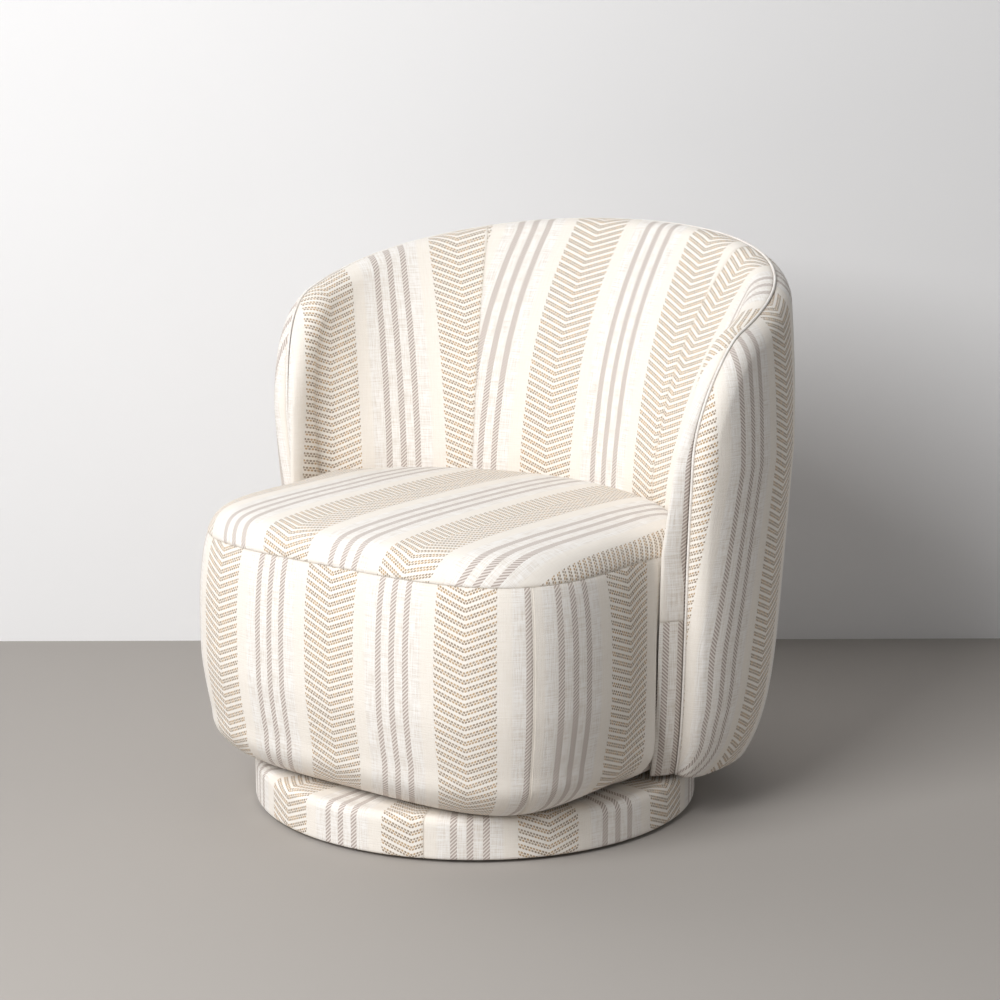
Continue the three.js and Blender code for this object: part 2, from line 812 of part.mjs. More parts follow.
function bottomBoard() {
  const shape = new THREE.Shape(boardLoop(boardBottom));
  shape.holes = [circlePath(0, 0, pinHeadRadius + pinRadius, smallTurnSteps),
    ...corners(plateBoltOffset).map(([x, y]) => circlePath(x, y, plateBoltHole, plateHoleSides))];
  return flat(shape, boardBottom, boardThickness);
}

function seatDustCover() {
  const shape = new THREE.Shape(boardLoop(boardBottom));
  const half = plateSide / 2 + frameDustMargin;
  shape.holes = [new THREE.Path(corners(half).map(([x, y]) => new THREE.Vector2(x, y)))];
  return flat(shape, boardBottom - dustCloth - clearance, dustCloth);
}

const bandRows = bandShares.map(([share]) => lerp(bodyBottom, seatSeamHeight, share)).reverse();

function bandSheet(angles, heights, start, end) {
  const rows = grid(heights, angles, (z, angle) => (depth) => bandPoint(angle, z, depth));
  return sheet([rows], start, end);
}

// Layers under the cover keep every second row of it
const bandLayerRows = [frameBottom, bandRows[2], bandRows[3], bandRows[6]];

const railBottom = railTop - railDepth;
const frontRailReach = angleAtY(frontRailEndY);
const frontPanelTop = railTop;

function frontPanel() {
  return bandSheet(bandAngles, [...bandLayerRows, frontPanelTop], frontPanelStart, frontPanelDepth);
}

function frontRail() {
  const start = frontPanelDepth + clearance;
  return bandSheet(anglesWithin(frontRailReach), [railBottom, railTop], start, start + railThickness);
}

// The room taken by the front rail, with its clearance, for pieces that butt against it
function frontRailRoom() {
  const start = frontPanelDepth + clearance;
  return bandSheet(anglesWithin(angleAtY(frontRailEndY + cutOverrun)),
    [railBottom - cutOverrun, railTop + cutOverrun], start - cutOverrun, start + railThickness + clearance);
}

// Ribs that shape the front, glued to one curved sill on the bottom board
function frontRibFrame() {
  const start = frontPanelDepth + ribClearance;
  const angles = anglesWithin(frontRailReach * frontRibShare);
  const plumb = (angle, z, inward) => new THREE.Vector3(...seatPlan(angle, -inward).toArray(), z);
  const ribs = angles.filter((_, i) => i % 3 === 0).map((angle) => {
    const middle = seatPlan(angle, 0);
    const turn = ribThickness / 2 / Math.hypot(middle.x, middle.y - seatCentreY);
    const rows = [...bandLayerRows, railBottom - clearance]
      .map((z) => [angle - turn, angle + turn].map((a) => (inner) => (inner
        ? plumb(a, z, frontRibDepth) : bandPoint(a, z, start))));
    return sheet([rows], false, true);
  });
  const sillRows = grid([frameBottom, frameBottom + ribThickness], angles,
    (z, angle) => (inward) => plumb(angle, z, inward));
  return join([...ribs, sheet([sillRows], frontRibDepth - railThickness, frontRibDepth - clothClearance)]);
}

function sideRail(side) {
  const low = Math.min(side * (sideRailOuterX - railThickness), side * sideRailOuterX);
  const rail = block(at(low, sideRailFrontY - cutOverrun, railBottom),
    at(low + railThickness, backRailOuterY, railTop));
  return cut(rail, [frontRailRoom()]);
}

function backRail() {
  const reach = sideRailOuterX - railThickness - clearance;
  return block(at(-reach, backRailOuterY - railThickness, railBottom), at(reach, backRailOuterY, railTop));
}

function railPost(side, y) {
  const inner = side * (sideRailOuterX - railThickness);
  const outer = side * sideRailOuterX;
  return block(at(Math.min(inner, outer), y - postWidth / 2, frameBottom),
    at(Math.max(inner, outer), y + postWidth / 2, railBottom - clearance));
}

// Springs: an end bar in a clip, then even curls from the front rail to the back rail
const springLift = springWire + clipThickness;
const curlStepShare = 0.25;
const springBackY = backRailOuterY - railThickness / 2;
const springXs = span(-springSpacing * 2, springSpacing * 2, springCount - 1);

function springFrontY(x) {
  const angle = span(-frontRailReach, frontRailReach, springSearchSteps).reduce((best, a) => (
    Math.abs(seatPlan(a, 0).x - x) < Math.abs(seatPlan(best, 0).x - x) ? a : best));
  return bandPoint(angle, railTop, frontPanelDepth + railThickness * springSeatShare).y;
}

function springHeight(share) {
  return railTop + springLift + springArch * Math.sin(Math.PI * Math.min(Math.max(share, 0), 1));
}

function springClip(x, y) {
  const half = springWire + clipThickness;
  const middle = railTop + springLift;
  return block(at(x - clipWidth / 2, y - half, railTop + clearance),
    at(x + clipWidth / 2, y + half, middle + half));
}

// A spring is crimped into a clip at each end
function sinuousSpring(x) {
  const front = springFrontY(Math.abs(x) + springHalfWidth);
  const length = springBackY - front;
  const curls = Math.round(length / springPitch);
  const swing = (length - springEndBend * 2) / curls;
  const points = [at(x + springHalfWidth, front, springHeight(0)),
    at(x - springHalfWidth + springEndBend, front, springHeight(0))];
  const sway = springHalfWidth * Math.SQRT2;
  span(0, curls, curls / curlStepShare).slice(0, -1).forEach((start) => {
    const turn = start + curlStepShare / 2;
    const y = front + springEndBend + swing * turn;
    points.push(at(x - sway * Math.cos(turn * fullTurn), y, springHeight((y - front) / length)));
  });
  points.push(at(x - springHalfWidth + springEndBend, springBackY, springHeight(1)));
  points.push(at(x + springHalfWidth, springBackY, springHeight(1)));
  const coil = wire(points, points.map(() => at(0, 0, 1)), springWire, wireSides);
  return join([coil, springClip(x, front), springClip(x, springBackY)]);
}

const tieHeight = railTop + springLift + springArch + springWire + tieWire + clearance;
const insulatorBottom = tieHeight + tieWire + clearance;
const seatFoamBottom = insulatorBottom + insulatorThickness + clearance;

function tieWireAcross() {
  const reach = springSpacing * 2 + springHalfWidth;
  const y = (springBackY + springFrontY(0)) / 2;
  const points = span(-reach, reach, 4).map((x) => at(x, y, tieHeight));
  return wire(points, points.map(() => at(0, 0, 1)), tieWire, tieWireSides);
}

// Cushion of the seat
const seatEdges = span(0, fullTurn, seatColumns).slice(0, -1).map(seatEdge);
const crownShares = [1, 0.985, 0.958, 0.91, 0.82, 0.6];
const centreEdge = { direction: new THREE.Vector2(0, 0), radius: 0 };

function edgeRoll() {
  const start = frontPanelStart + clearance;
  const end = frontPanelDepth + railThickness * edgeRollShare;
  const heights = [railTop + clearance, insulatorBottom - clearance];
  return bandSheet(anglesWithin(frontRailReach), heights, start, end);
}

function insulatorPad() {
  const loop = seatEdges.map((edge) => seatRing(edge, seatFoamInset + insulatorMargin, 0));
  const shape = new THREE.Shape(loop.map((p) => new THREE.Vector2(p.x, p.y)));
  return flat(shape, insulatorBottom, insulatorThickness);
}

function seatFoam() {
  const shares = crownShares.filter((share) => share < crownShares[1]);
  const heights = [seatFoamBottom, seatSeamHeight - foamStart];
  const sides = heights.map((z) => seatEdges.map((edge) => seatRing(edge, seatFoamInset, z)));
  const tops = shares.map((share) => seatEdges.map((edge) => seatPoint(edge, share, foamStart)));
  const rings = [...sides, ...tops];
  const points = [...rings.flat(), at(0, seatCentreY, seatFoamBottom), seatPoint(centreEdge, 0, foamStart)];
  const count = seatEdges.length;
  const faces = [];
  rings.slice(1).forEach((_, i) => seatEdges.forEach((__, j) => {
    const next = (j + 1) % count;
    const [a, b, c, d] = [i * count + j, i * count + next, (i + 1) * count + next, (i + 1) * count + j];
    faces.push([a, b, c], [a, c, d]);
  }));
  const top = (rings.length - 1) * count;
  seatEdges.forEach((_, j) => {
    const next = (j + 1) % count;
    faces.push([rings.length * count, next, j], [rings.length * count + 1, top + j, top + next]);
  });
  return body(points, faces);
}

function seatCushionCover() {
  const rows = crownShares.map((share) => seatEdges.map((edge) => (
    (depth) => seatPoint(edge, share, depth))));
  const middle = (depth) => seatPoint(centreEdge, 0, depth);
  rows.push(seatEdges.map(() => middle));
  return sheet([ringed(rows)], 0, cloth);
}

function bandPadding() {
  const heights = [...bandLayerRows, ...bandRows.slice(-3, -1)];
  return bandSheet(bandAngles, heights, softClearance, frontPanelStart - clothClearance);
}

function bandCover() {
  const wallRows = grid(bandRows, coverColumns, (z, column) => (depth) => (z > bodyBottom
    ? column(z, depth) : column(z, depth).add(at(0, 0, depth))));
  const fold = coverColumns.map((column) => (depth) => column(bodyBottom, coverFold)
    .add(at(0, 0, depth)));
  return sheet([[fold, ...wallRows]], 0, cloth);
}

// Back and arms
const seamShare = seamTopReach / cornerStart;
const seamSlip = clothClearance / 2 / cornerStart;
const backShares = [0, 0.15, 0.3, seamShare];
const sideShares = [seamShare, 0.58, 0.7, 0.8, 0.9, 1, 1.18, 1.38, 1.58, 1.79, 2];
const skirtHeights = [...bandRows.slice(0, 5), skirtTop];
const seamHalfDegrees = THREE.MathUtils.radToDeg((rimSeamRadius + rimSeamGap) / rollRadius);
const innerEndDegrees = rimSeamDegrees - seamHalfDegrees;
const outerEndDegrees = rimSeamDegrees + seamHalfDegrees;
const innerDegrees = [-straightDegrees, -55, -20, innerEndDegrees];
const outerDegrees = [straightDegrees, 58, outerEndDegrees];
const stripDegrees = [-70, -45, -18, innerEndDegrees];
const innerRowShares = [0.34, 0.62, 0.84];
const outerRowShares = [0.35, 0.7];

// Covers have every column; the layers under them skip a few round the arm corners and in the skirt
const coverShares = [...backShares, ...sideShares.slice(1)];
const layerShares = [...coverShares.filter((t) => t <= 1), 1.38, 1.79, 2];
const layerHeights = [2, 4, 5].map((i) => skirtHeights[i]);
const boardEndShare = 1.5;

const mirrored = (shares) => [...[...shares].reverse().map((t) => ({ t, side: -1 })),
  ...shares.filter((t) => t > 0).map((t) => ({ t, side: 1 }))];
const onSide = (shares, side) => (side > 0 ? shares : [...shares].reverse()).map((t) => ({ t, side }));

function rimNode(t, side, degrees) {
  return (depth) => rimPoint(t, side, degrees, depth);
}

// The inner seams slant: they stand wider apart at the seat than at the rim
function bottomRun(run) {
  if (run <= seamTopReach) return (run * seamBottomReach) / seamTopReach;
  const edge = edgeRun - rollRadius;
  return lerp(seamBottomReach, edge, Math.min((run - seamTopReach) / (edge - seamTopReach), 1));
}

// Where the face of the wall meets the rolled rim
function rimFoot({ t }, inner) {
  const o = outlineWithNormal(t);
  const inward = inner ? joinDrop(o.run) : rollRadius;
  return { run: o.run + o.inRun * inward, z: o.z + o.inZ * inward };
}

function wallNode(column, z, low, inner) {
  const top = rimFoot(column, inner);
  if (!inner) return (depth) => place(column.side * top.run, z, depth);
  const run = lerp(bottomRun(top.run), top.run, (z - low) / (top.z - low));
  return (depth) => place(column.side * run, z, wallAt(run, z) - depth);
}

// A cover or pad over one face of the wall, carried round the rolled rim and down the arm fronts
function shellPanel({ columns, heights, shares, degrees, inner, feet = [] }) {
  const low = heights[0];
  const last = heights[heights.length - 1];
  const tops = columns.map((column) => rimFoot(column, inner).z);
  const join = (t) => joinDegrees(outlineAt(t).run) / straightDegrees;
  const rolled = (angle, t) => (angle < 0 ? angle * join(t) : angle);
  const roll = degrees.map((angle) => columns.map(({ t, side }) => rimNode(t, side, rolled(angle, t))));
  const rows = [
    ...heights.map((z) => columns.map((column) => wallNode(column, z, low, inner))),
    ...shares.map((share) => columns.map((column, i) => (
      wallNode(column, lerp(last, tops[i], share), low, inner)))),
    roll[0],
  ];
  const edgeHeights = [...heights, ...shares.map((share) => lerp(last, cornerHeight, share))];
  const strip = (column, side) => [
    ...feet.map((z) => degrees.map((angle) => rimNode(verticalShare(z), side, angle))),
    ...rows.map((row, i) => degrees.map((angle, j) => {
      if (j === 0) return row[column];
      if (i === rows.length - 1) return roll[j][column];
      return rimNode(verticalShare(edgeHeights[i]), side, angle);
    })),
  ];
  const blocks = [rows, roll];
  if (columns[0].t === 2) blocks.push(strip(0, -1).map((row) => row.reverse()));
  if (columns[columns.length - 1].t === 2) blocks.push(strip(columns.length - 1, 1));
  return blocks;
}

function outerBackCover() {
  const columns = mirrored(coverShares);
  const blocks = shellPanel({ columns, heights: skirtHeights.slice(1), shares: outerRowShares,
    degrees: outerDegrees, inner: false });
  const footNode = (column, inward) => (depth) => wallNode(column, bodyBottom, bodyBottom, false)(
    inward || depth).add(at(0, 0, depth));
  const feet = [coverFold, 0].map((inward) => columns.map((column) => footNode(column, inward)));
  return sheet([...blocks, [...feet, blocks[0][0]]], 0, cloth);
}

function outerPadding() {
  const degrees = [...outerDegrees.slice(0, 2), outerEndDegrees + seamHalfDegrees];
  const blocks = shellPanel({ columns: mirrored(layerShares), heights: layerHeights, shares: outerRowShares,
    degrees, inner: false });
  return sheet(blocks, softClearance, outerPadDepth);
}

function innerPanel(columns, feet) {
  return sheet(shellPanel({ columns, heights: [innerWallBottom, seatLevel], shares: innerRowShares,
    degrees: innerDegrees, inner: true, feet }), 0, cloth);
}

function innerBackCentre() {
  return innerPanel(mirrored([...backShares.slice(0, -1), seamShare - seamSlip]), []);
}

function innerBackSide(side) {
  return innerPanel(onSide([seamShare + seamSlip, ...sideShares.slice(1)], side), [armStripTop]);
}

function innerFoam() {
  const degrees = [...innerDegrees.slice(0, 3), innerEndDegrees - seamHalfDegrees / 2];
  const blocks = shellPanel({ columns: mirrored(coverShares), heights: [innerWallBottom, seatLevel],
    shares: innerRowShares, degrees, inner: true, feet: skirtHeights.slice(2, -1) });
  return sheet(blocks, foamStart, foamDepth);
}

function armFrontStrip(side) {
  const heights = [...skirtHeights.slice(0, -1), armStripTop - clothClearance];
  const degrees = side > 0 ? stripDegrees : [...stripDegrees].reverse();
  const rows = grid(heights, degrees, (z, angle) => rimNode(verticalShare(z), side, angle));
  return sheet([rows], 0, cloth);
}

function rimSeam() {
  const down = [...skirtHeights, seatLevel].map(verticalShare);
  const left = [...down.map((t) => ({ t, side: -1 })), ...mirrored(coverShares)];
  const stations = [...left, ...[...down].reverse().map((t) => ({ t, side: 1 }))];
  const points = stations.map(({ t, side }) => rimPoint(t, side, rimSeamDegrees, rimSeamSink));
  const acrosses = stations.map(({ t, side }, i) => rimPoint(t, side, rimSeamDegrees, 0).sub(points[i]));
  return wire(points, acrosses, rimSeamRadius, wireSides);
}

// Upright pieces of the wall: their nodes stand at fixed runs from the middle of the back
function rimOver(run) {
  const along = Math.abs(run);
  const into = Math.max(along - cornerStart, 0) / cornerLength;
  return rimHeight(along) - cornerLength * cornerDropShare * (1 - Math.sqrt(1 - Math.min(into, 1) ** 2));
}

// Boards and straps share the columns of the covers, so the layers keep their distance
function columnSheet(columns, heightsAt, start, end, inner) {
  const nodes = columns.map((column) => heightsAt(column)
    .map((z) => wallNode(column, z, innerWallBottom, inner)));
  return sheet([nodes[0].map((_, i) => nodes.map((column) => column[i]))], start, end);
}

const wallTop = (column) => rimFoot(column, false).z;

function outerBoard() {
  const columns = mirrored(layerShares.filter((t) => t < boardEndShare));
  const heights = (column) => [...layerHeights, ...[...outerRowShares, outerBoardTopShare]
    .map((share) => lerp(skirtTop, wallTop(column), share))];
  return columnSheet(columns, heights, outerBoardStart, outerBoardDepth, false);
}

function backBand() {
  const columns = mirrored(layerShares.filter((t) => t <= 1));
  return columnSheet(columns, () => [skirtTop, braceBandTop], bandStart, bandDepth, false);
}

const hoopInward = [hoopCentre - hoopHalf, hoopCentre + hoopHalf];

function backRib(run) {
  const half = ribThickness / 2;
  const top = Math.min(rimOver(run - half), rimOver(run + half)) - ribTopDrop;
  const skirt = skirtHeights.filter((z) => z > frameBottom);
  const heights = [frameBottom, ...skirt, ...span(seatLevel, top, ribRows)];
  const rows = heights.map((z) => [run - half, run + half].map((r) => (inner) => place(r, z,
    inner ? wallAt(r, z) - ribInnerCover : ribStart)));
  return sheet([rows], false, true);
}

function railAlongRim(stations) {
  const [near, far] = hoopInward;
  const square = [[near, near], [near, far], [far, far], [far, near]];
  const rings = stations.map(({ t, side }) => square.map(([inward, through]) => (
    railPoint(t, side, inward, through))));
  return barThrough(rings);
}

const topHoop = () => railAlongRim(mirrored(layerShares));

function armPost(side) {
  const top = verticalShare(cornerHeight - clearance);
  const heights = skirtHeights.filter((z) => z > frameBottom).reverse();
  const stations = [top, ...heights.map(verticalShare), verticalShare(frameBottom)];
  return railAlongRim(stations.map((t) => ({ t, side })));
}

// Woven straps: level ones from arm rib to arm rib, crossed by upright ones
function backWebbing() {
  const half = webWidth / 2;
  const levels = webLevelShares.map((share) => lerp(seatLevel + half, backTop, share));
  const topShares = layerShares.filter((t) => t <= 1);
  const reaches = levels.map((z) => topShares.filter((t) => wallTop({ t }) - rollRadius > z + half).pop());
  const level = levels.map((z, i) => columnSheet(mirrored(layerShares.filter((t) => t <= reaches[i])),
    () => [z - half, z + half], webStart, webDepth, true));
  const [near, far] = [backShares[1], backShares[2]];
  const width = webWidth / ((far - near) * cornerStart);
  const upright = [-1, 1].map((side) => {
    const rows = levels.flatMap((z) => [z - half, z + half]).map((z) => {
      const [a, b] = [near, far].map((t) => wallNode({ t, side }, z, innerWallBottom, true));
      return [1 - width, 1 + width].map((share) => (depth) => a(depth).lerp(b(depth), share / 2));
    });
    return sheet([rows], webStart + webStagger, webDepth + webStagger);
  });
  return join([...level, ...upright]);
}

// Colours of the materials
const looks = {
  cover: { color: 0xe6ded2, roughness: 0.95, metalness: 0 },
  foam: { color: 0xefe6c8, roughness: 0.95, metalness: 0 },
  wadding: { color: 0xf2f0ea, roughness: 0.98, metalness: 0 },
  wood: { color: 0xc9a878, roughness: 0.75, metalness: 0 },
  plywood: { color: 0xd3b98d, roughness: 0.7, metalness: 0 },
  board: { color: 0xb59a73, roughness: 0.9, metalness: 0 },
  steel: { color: 0x9b9da0, roughness: 0.4, metalness: 1 },
  blackSteel: { color: 0x2b2c2e, roughness: 0.45, metalness: 0.8 },
  plastic: { color: 0x1f2022, roughness: 0.55, metalness: 0 },
  felt: { color: 0x4a4844, roughness: 0.98, metalness: 0 },
  webbing: { color: 0xa78a5c, roughness: 0.95, metalness: 0 },
};

const chair = new THREE.Group();
const base = new THREE.Group();
const bearing = new THREE.Group();
const seatUnit = new THREE.Group();
chair.add(base, bearing, seatUnit);

function add(parent, name, geometry, look) {
  geometry.computeVertexNormals();
  const mesh = new THREE.Mesh(geometry, new THREE.MeshStandardMaterial(looks[look]));
  mesh.name = name;
  parent.add(mesh);
}

add(base, 'plinth_floor_ring', floorRing(), 'plywood');
add(base, 'plinth_hoop', plinthHoop(), 'plywood');
add(base, 'plinth_brace', plinthBrace(), 'plywood');
add(base, 'plinth_top_panel', topPanel(), 'plywood');
add(base, 'plinth_padding', plinthPadding(), 'wadding');
add(base, 'plinth_cover', plinthCover(), 'cover');
add(base, 'plinth_dust_cover', plinthDustCover(), 'felt');
circlePlaces(glideCircle, glideCount, quarterTurn / 2).forEach((spot, i) => {
  add(base, `floor_glide_${i + 1}`, floorGlide(spot), 'plastic');
});
add(base, 'swivel_lower_plate', swivelLowerPlate(), 'blackSteel');
add(base, 'swivel_pin', swivelPin(), 'steel');
add(base, 'pin_washer', pinWasher(), 'plastic');
add(bearing, 'ball_cage', ballCage(), 'steel');
add(seatUnit, 'swivel_upper_plate', swivelUpperPlate(), 'blackSteel');
add(seatUnit, 'bottom_board', bottomBoard(), 'plywood');
add(seatUnit, 'seat_dust_cover', seatDustCover(), 'felt');
add(seatUnit, 'front_rib_frame', frontRibFrame(), 'plywood');
add(seatUnit, 'front_panel', frontPanel(), 'board');
add(seatUnit, 'front_rail', frontRail(), 'wood');
add(seatUnit, 'side_rail_right', sideRail(1), 'wood');
add(seatUnit, 'side_rail_left', sideRail(-1), 'wood');
add(seatUnit, 'back_rail', backRail(), 'wood');
add(seatUnit, 'rail_post_right_back', railPost(1, postBackY), 'wood');
add(seatUnit, 'rail_post_right_front', railPost(1, postFrontY), 'wood');
add(seatUnit, 'rail_post_left_back', railPost(-1, postBackY), 'wood');
add(seatUnit, 'rail_post_left_front', railPost(-1, postFrontY), 'wood');
springXs.forEach((x, i) => add(seatUnit, `sinuous_spring_${i + 1}`, sinuousSpring(x), 'steel'));
add(seatUnit, 'spring_tie_wire', tieWireAcross(), 'steel');
add(seatUnit, 'front_edge_roll', edgeRoll(), 'wadding');
add(seatUnit, 'insulator_pad', insulatorPad(), 'felt');
add(seatUnit, 'seat_foam', seatFoam(), 'foam');
add(seatUnit, 'seat_cushion_cover', seatCushionCover(), 'cover');
add(seatUnit, 'front_band_padding', bandPadding(), 'foam');
add(seatUnit, 'front_band_cover', bandCover(), 'cover');
add(seatUnit, 'back_rib_centre', backRib(0), 'plywood');
add(seatUnit, 'back_rib_right', backRib(seamTopReach), 'plywood');
add(seatUnit, 'back_rib_left', backRib(-seamTopReach), 'plywood');
add(seatUnit, 'arm_rib_right', backRib(cornerStart * sideRibShare), 'plywood');
add(seatUnit, 'arm_rib_left', backRib(-cornerStart * sideRibShare), 'plywood');
add(seatUnit, 'back_brace_band', backBand(), 'plywood');
add(seatUnit, 'top_hoop', topHoop(), 'wood');
add(seatUnit, 'arm_post_right', armPost(1), 'wood');
add(seatUnit, 'arm_post_left', armPost(-1), 'wood');
add(seatUnit, 'back_webbing', backWebbing(), 'webbing');
add(seatUnit, 'outer_back_board', outerBoard(), 'board');
add(seatUnit, 'outer_back_padding', outerPadding(), 'wadding');
add(seatUnit, 'outer_back_cover', outerBackCover(), 'cover');
add(seatUnit, 'inner_back_foam', innerFoam(), 'foam');
add(seatUnit, 'inner_back_centre_cover', innerBackCentre(), 'cover');
add(seatUnit, 'inner_back_right_cover', innerBackSide(1), 'cover');
add(seatUnit, 'inner_back_left_cover', innerBackSide(-1), 'cover');
add(seatUnit, 'arm_front_strip_right', armFrontStrip(1), 'cover');
add(seatUnit, 'arm_front_strip_left', armFrontStrip(-1), 'cover');
add(seatUnit, 'rim_seam', rimSeam(), 'cover');

// Everything so far stands round the swivel's axis; the origin moves to the middle of the whole footprint
const footprint = new THREE.Box3().setFromObject(chair).getCenter(new THREE.Vector3());
chair.traverse((node) => {
  if (node.isMesh) node.geometry.translate(0, -footprint.y, 0);
});

export default chair;
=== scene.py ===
# Swivel barrel chair: its fabric, padding, fasteners and finishes over the solids of the frame
import math

import bmesh
import bpy
import numpy as np
from mathutils import Matrix, Vector, kdtree, noise


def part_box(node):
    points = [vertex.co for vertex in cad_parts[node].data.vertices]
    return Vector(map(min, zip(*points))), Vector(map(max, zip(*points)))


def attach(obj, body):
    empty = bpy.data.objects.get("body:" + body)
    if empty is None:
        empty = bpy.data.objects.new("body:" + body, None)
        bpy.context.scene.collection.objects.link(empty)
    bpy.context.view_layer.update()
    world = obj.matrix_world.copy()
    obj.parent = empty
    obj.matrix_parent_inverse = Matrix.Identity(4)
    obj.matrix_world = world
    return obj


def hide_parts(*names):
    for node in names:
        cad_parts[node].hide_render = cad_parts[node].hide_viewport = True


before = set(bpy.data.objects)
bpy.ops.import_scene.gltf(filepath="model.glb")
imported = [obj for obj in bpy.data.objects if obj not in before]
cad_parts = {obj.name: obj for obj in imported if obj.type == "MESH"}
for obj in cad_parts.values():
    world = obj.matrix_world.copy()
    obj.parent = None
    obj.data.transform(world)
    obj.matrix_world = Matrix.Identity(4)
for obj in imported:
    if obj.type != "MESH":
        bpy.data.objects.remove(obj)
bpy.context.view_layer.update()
mm = 0.001
tiny = 1e-6
fullTurn = 2 * math.pi
pinLow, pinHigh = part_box("swivel_pin")
axisY = (pinLow[1] + pinHigh[1]) / 2 / mm  # shapes are worked out in millimetres from the swivel's axis
print("frame loaded, axis at", round(axisY, 3))

# Sizes of the shell, as in the part's source, and the steps and limits it is worked out with
shell = dict(
    halfWidth=390, centreY=88, backReach=336, frontReach=174, backPower=2.05, frontPower=2.65,
    armFrontY=-11.3, wall=62, bottom=66, backTop=750, armTop=618.6, rimPower=2.13, corner=98,
    cornerDrop=1.3, bellyHeight=486, skirtInset=44.6, skirtShare=0.6, skirtCurlPower=8, topInset=15.3,
    frontZone=260, frontFlare=0.2, armLean=4.6, leanStart=330, leanEnd=600, seatLevel=400,
    recline=130, joinDegrees=46, reclinePlanPower=2.7, reclineFade=0.15, innerBottom=330,
    stripTop=288, seamTop=262, seamBottom=300, weltDegrees=20, weltRadius=1.9, weltGap=0.3,
    weltSink=0.3, seamSlip=0.2, coverFold=22, planSteps=1440, outlineStep=0.002, steepest=89.9,
    joinReach=90, tableRuns=140, tableHeights=90, tableEnd=1.001,
)
roll = shell["wall"] / 2


def smooth(t):
    c = np.clip(t, 0, 1)
    return c * c * (3 - 2 * c)


def lerp(a, b, t):
    return a + (b - a) * t


# Outline of the shell from above: arc length from the middle of the back, points, outward normals
def shellPlan():
    angle = np.linspace(0, math.pi, shell["planSteps"] + 1)
    front = np.cos(angle) < 0
    reach = np.where(front, shell["frontReach"], shell["backReach"])
    power = np.where(front, shell["frontPower"], shell["backPower"])
    sine, cosine = np.abs(np.sin(angle)), np.abs(np.cos(angle))
    radius = ((sine / shell["halfWidth"]) ** power + (cosine / reach) ** power) ** (-1 / power)
    x, y = radius * np.sin(angle), shell["centreY"] + radius * np.cos(angle)
    run = np.concatenate([[0], np.cumsum(np.hypot(np.diff(x), np.diff(y)))])
    before = np.maximum(np.arange(len(x)) - 1, 0)
    after = np.minimum(np.arange(len(x)) + 1, len(x) - 1)
    dx, dy = x[after] - x[before], y[after] - y[before]
    length = np.hypot(dx, dy)
    return dict(run=run, x=x, y=y, nx=-dy / length, ny=dx / length)


plan = shellPlan()
fartherHalf = np.arange(len(plan["y"])) > len(plan["y"]) / 2
ahead = int(np.argmax(fartherHalf & (plan["y"] < shell["armFrontY"])))
edgeShare = (shell["armFrontY"] - plan["y"][ahead - 1]) / (plan["y"][ahead] - plan["y"][ahead - 1])
edgeRun = lerp(plan["run"][ahead - 1], plan["run"][ahead], edgeShare)
cornerStart = edgeRun - shell["corner"]
cornerHeight = shell["armTop"] - shell["corner"] * shell["cornerDrop"]
footRun = edgeRun - roll


def rimHeight(run):
    share = np.minimum(np.abs(run) / edgeRun, 1)
    return shell["backTop"] - (shell["backTop"] - shell["armTop"]) * share ** shell["rimPower"]


# How far the shell draws in below and above its widest height
def insetAt(z):
    belly = shell["bellyHeight"]
    low = np.clip((belly - z) / (belly - shell["bottom"]), 0, 1)
    high = np.maximum((z - belly) / (shell["backTop"] - belly), 0)
    skirt = shell["skirtInset"] * shell["skirtShare"] * (low + low ** shell["skirtCurlPower"])
    return skirt + shell["topInset"] * high**2


def place(run, z, depth):
    run, z, depth = np.broadcast_arrays(*[np.asarray(v, float) for v in (run, z, depth)])
    side = np.where(run < 0, -1.0, 1.0)
    along = np.abs(run)
    front = smooth((along - (edgeRun - shell["frontZone"])) / shell["frontZone"])
    lean = smooth((z - shell["leanStart"]) / (shell["leanEnd"] - shell["leanStart"]))
    at = along - shell["armLean"] * lean * front
    x, y, nx, ny = (np.interp(at, plan["run"], plan[key]) for key in ("x", "y", "nx", "ny"))
    inward = insetAt(z) * (1 + shell["frontFlare"] * front) + depth
    return np.stack([side * (x - nx * inward), y - ny * inward, z], -1)


# The inner face leans back most in the middle of the back, and not at the arm fronts
def leanShare(run):
    u = np.minimum(np.abs(run) / footRun, 1)
    return (1 - u ** shell["reclinePlanPower"]) * smooth((1 - u) / shell["reclineFade"])


def joinAngle(run):
    return np.radians(lerp(90, shell["joinDegrees"], leanShare(run)))


def joinDrop(run):
    return roll * (1 - np.cos(joinAngle(run)))


def wallAt(run, z):
    lean = leanShare(run)
    join = np.minimum(joinAngle(run), math.radians(shell["steepest"]))
    first = roll * (1 + np.sin(join))
    last = shell["wall"] + shell["recline"] * lean
    start = rimHeight(run) - joinDrop(run)
    power = (start - shell["seatLevel"]) / np.tan(join) / np.maximum(last - first, tiny)
    t = np.clip((start - z) / (start - shell["seatLevel"]), 0, 1)
    leaning = last - (last - first) * (1 - t) ** power
    return np.where(lean < tiny, shell["wall"], leaning)


# The rim's outline: t runs 0 to 1 along the top, to 2 round the arm corner, to 3 down the arm front
def outlineAt(t):
    angle = np.clip(t - 1, 0, 1) * math.pi / 2
    turnRun = edgeRun - shell["corner"] * (1 - np.sin(angle))
    run = np.where(t <= 1, t * cornerStart, np.where(t <= 2, turnRun, edgeRun))
    drop = shell["corner"] * shell["cornerDrop"] * (1 - np.cos(angle))
    down = lerp(cornerHeight, shell["bottom"], np.maximum(t - 2, 0))
    return run, np.where(t <= 2, rimHeight(run) - drop, down)


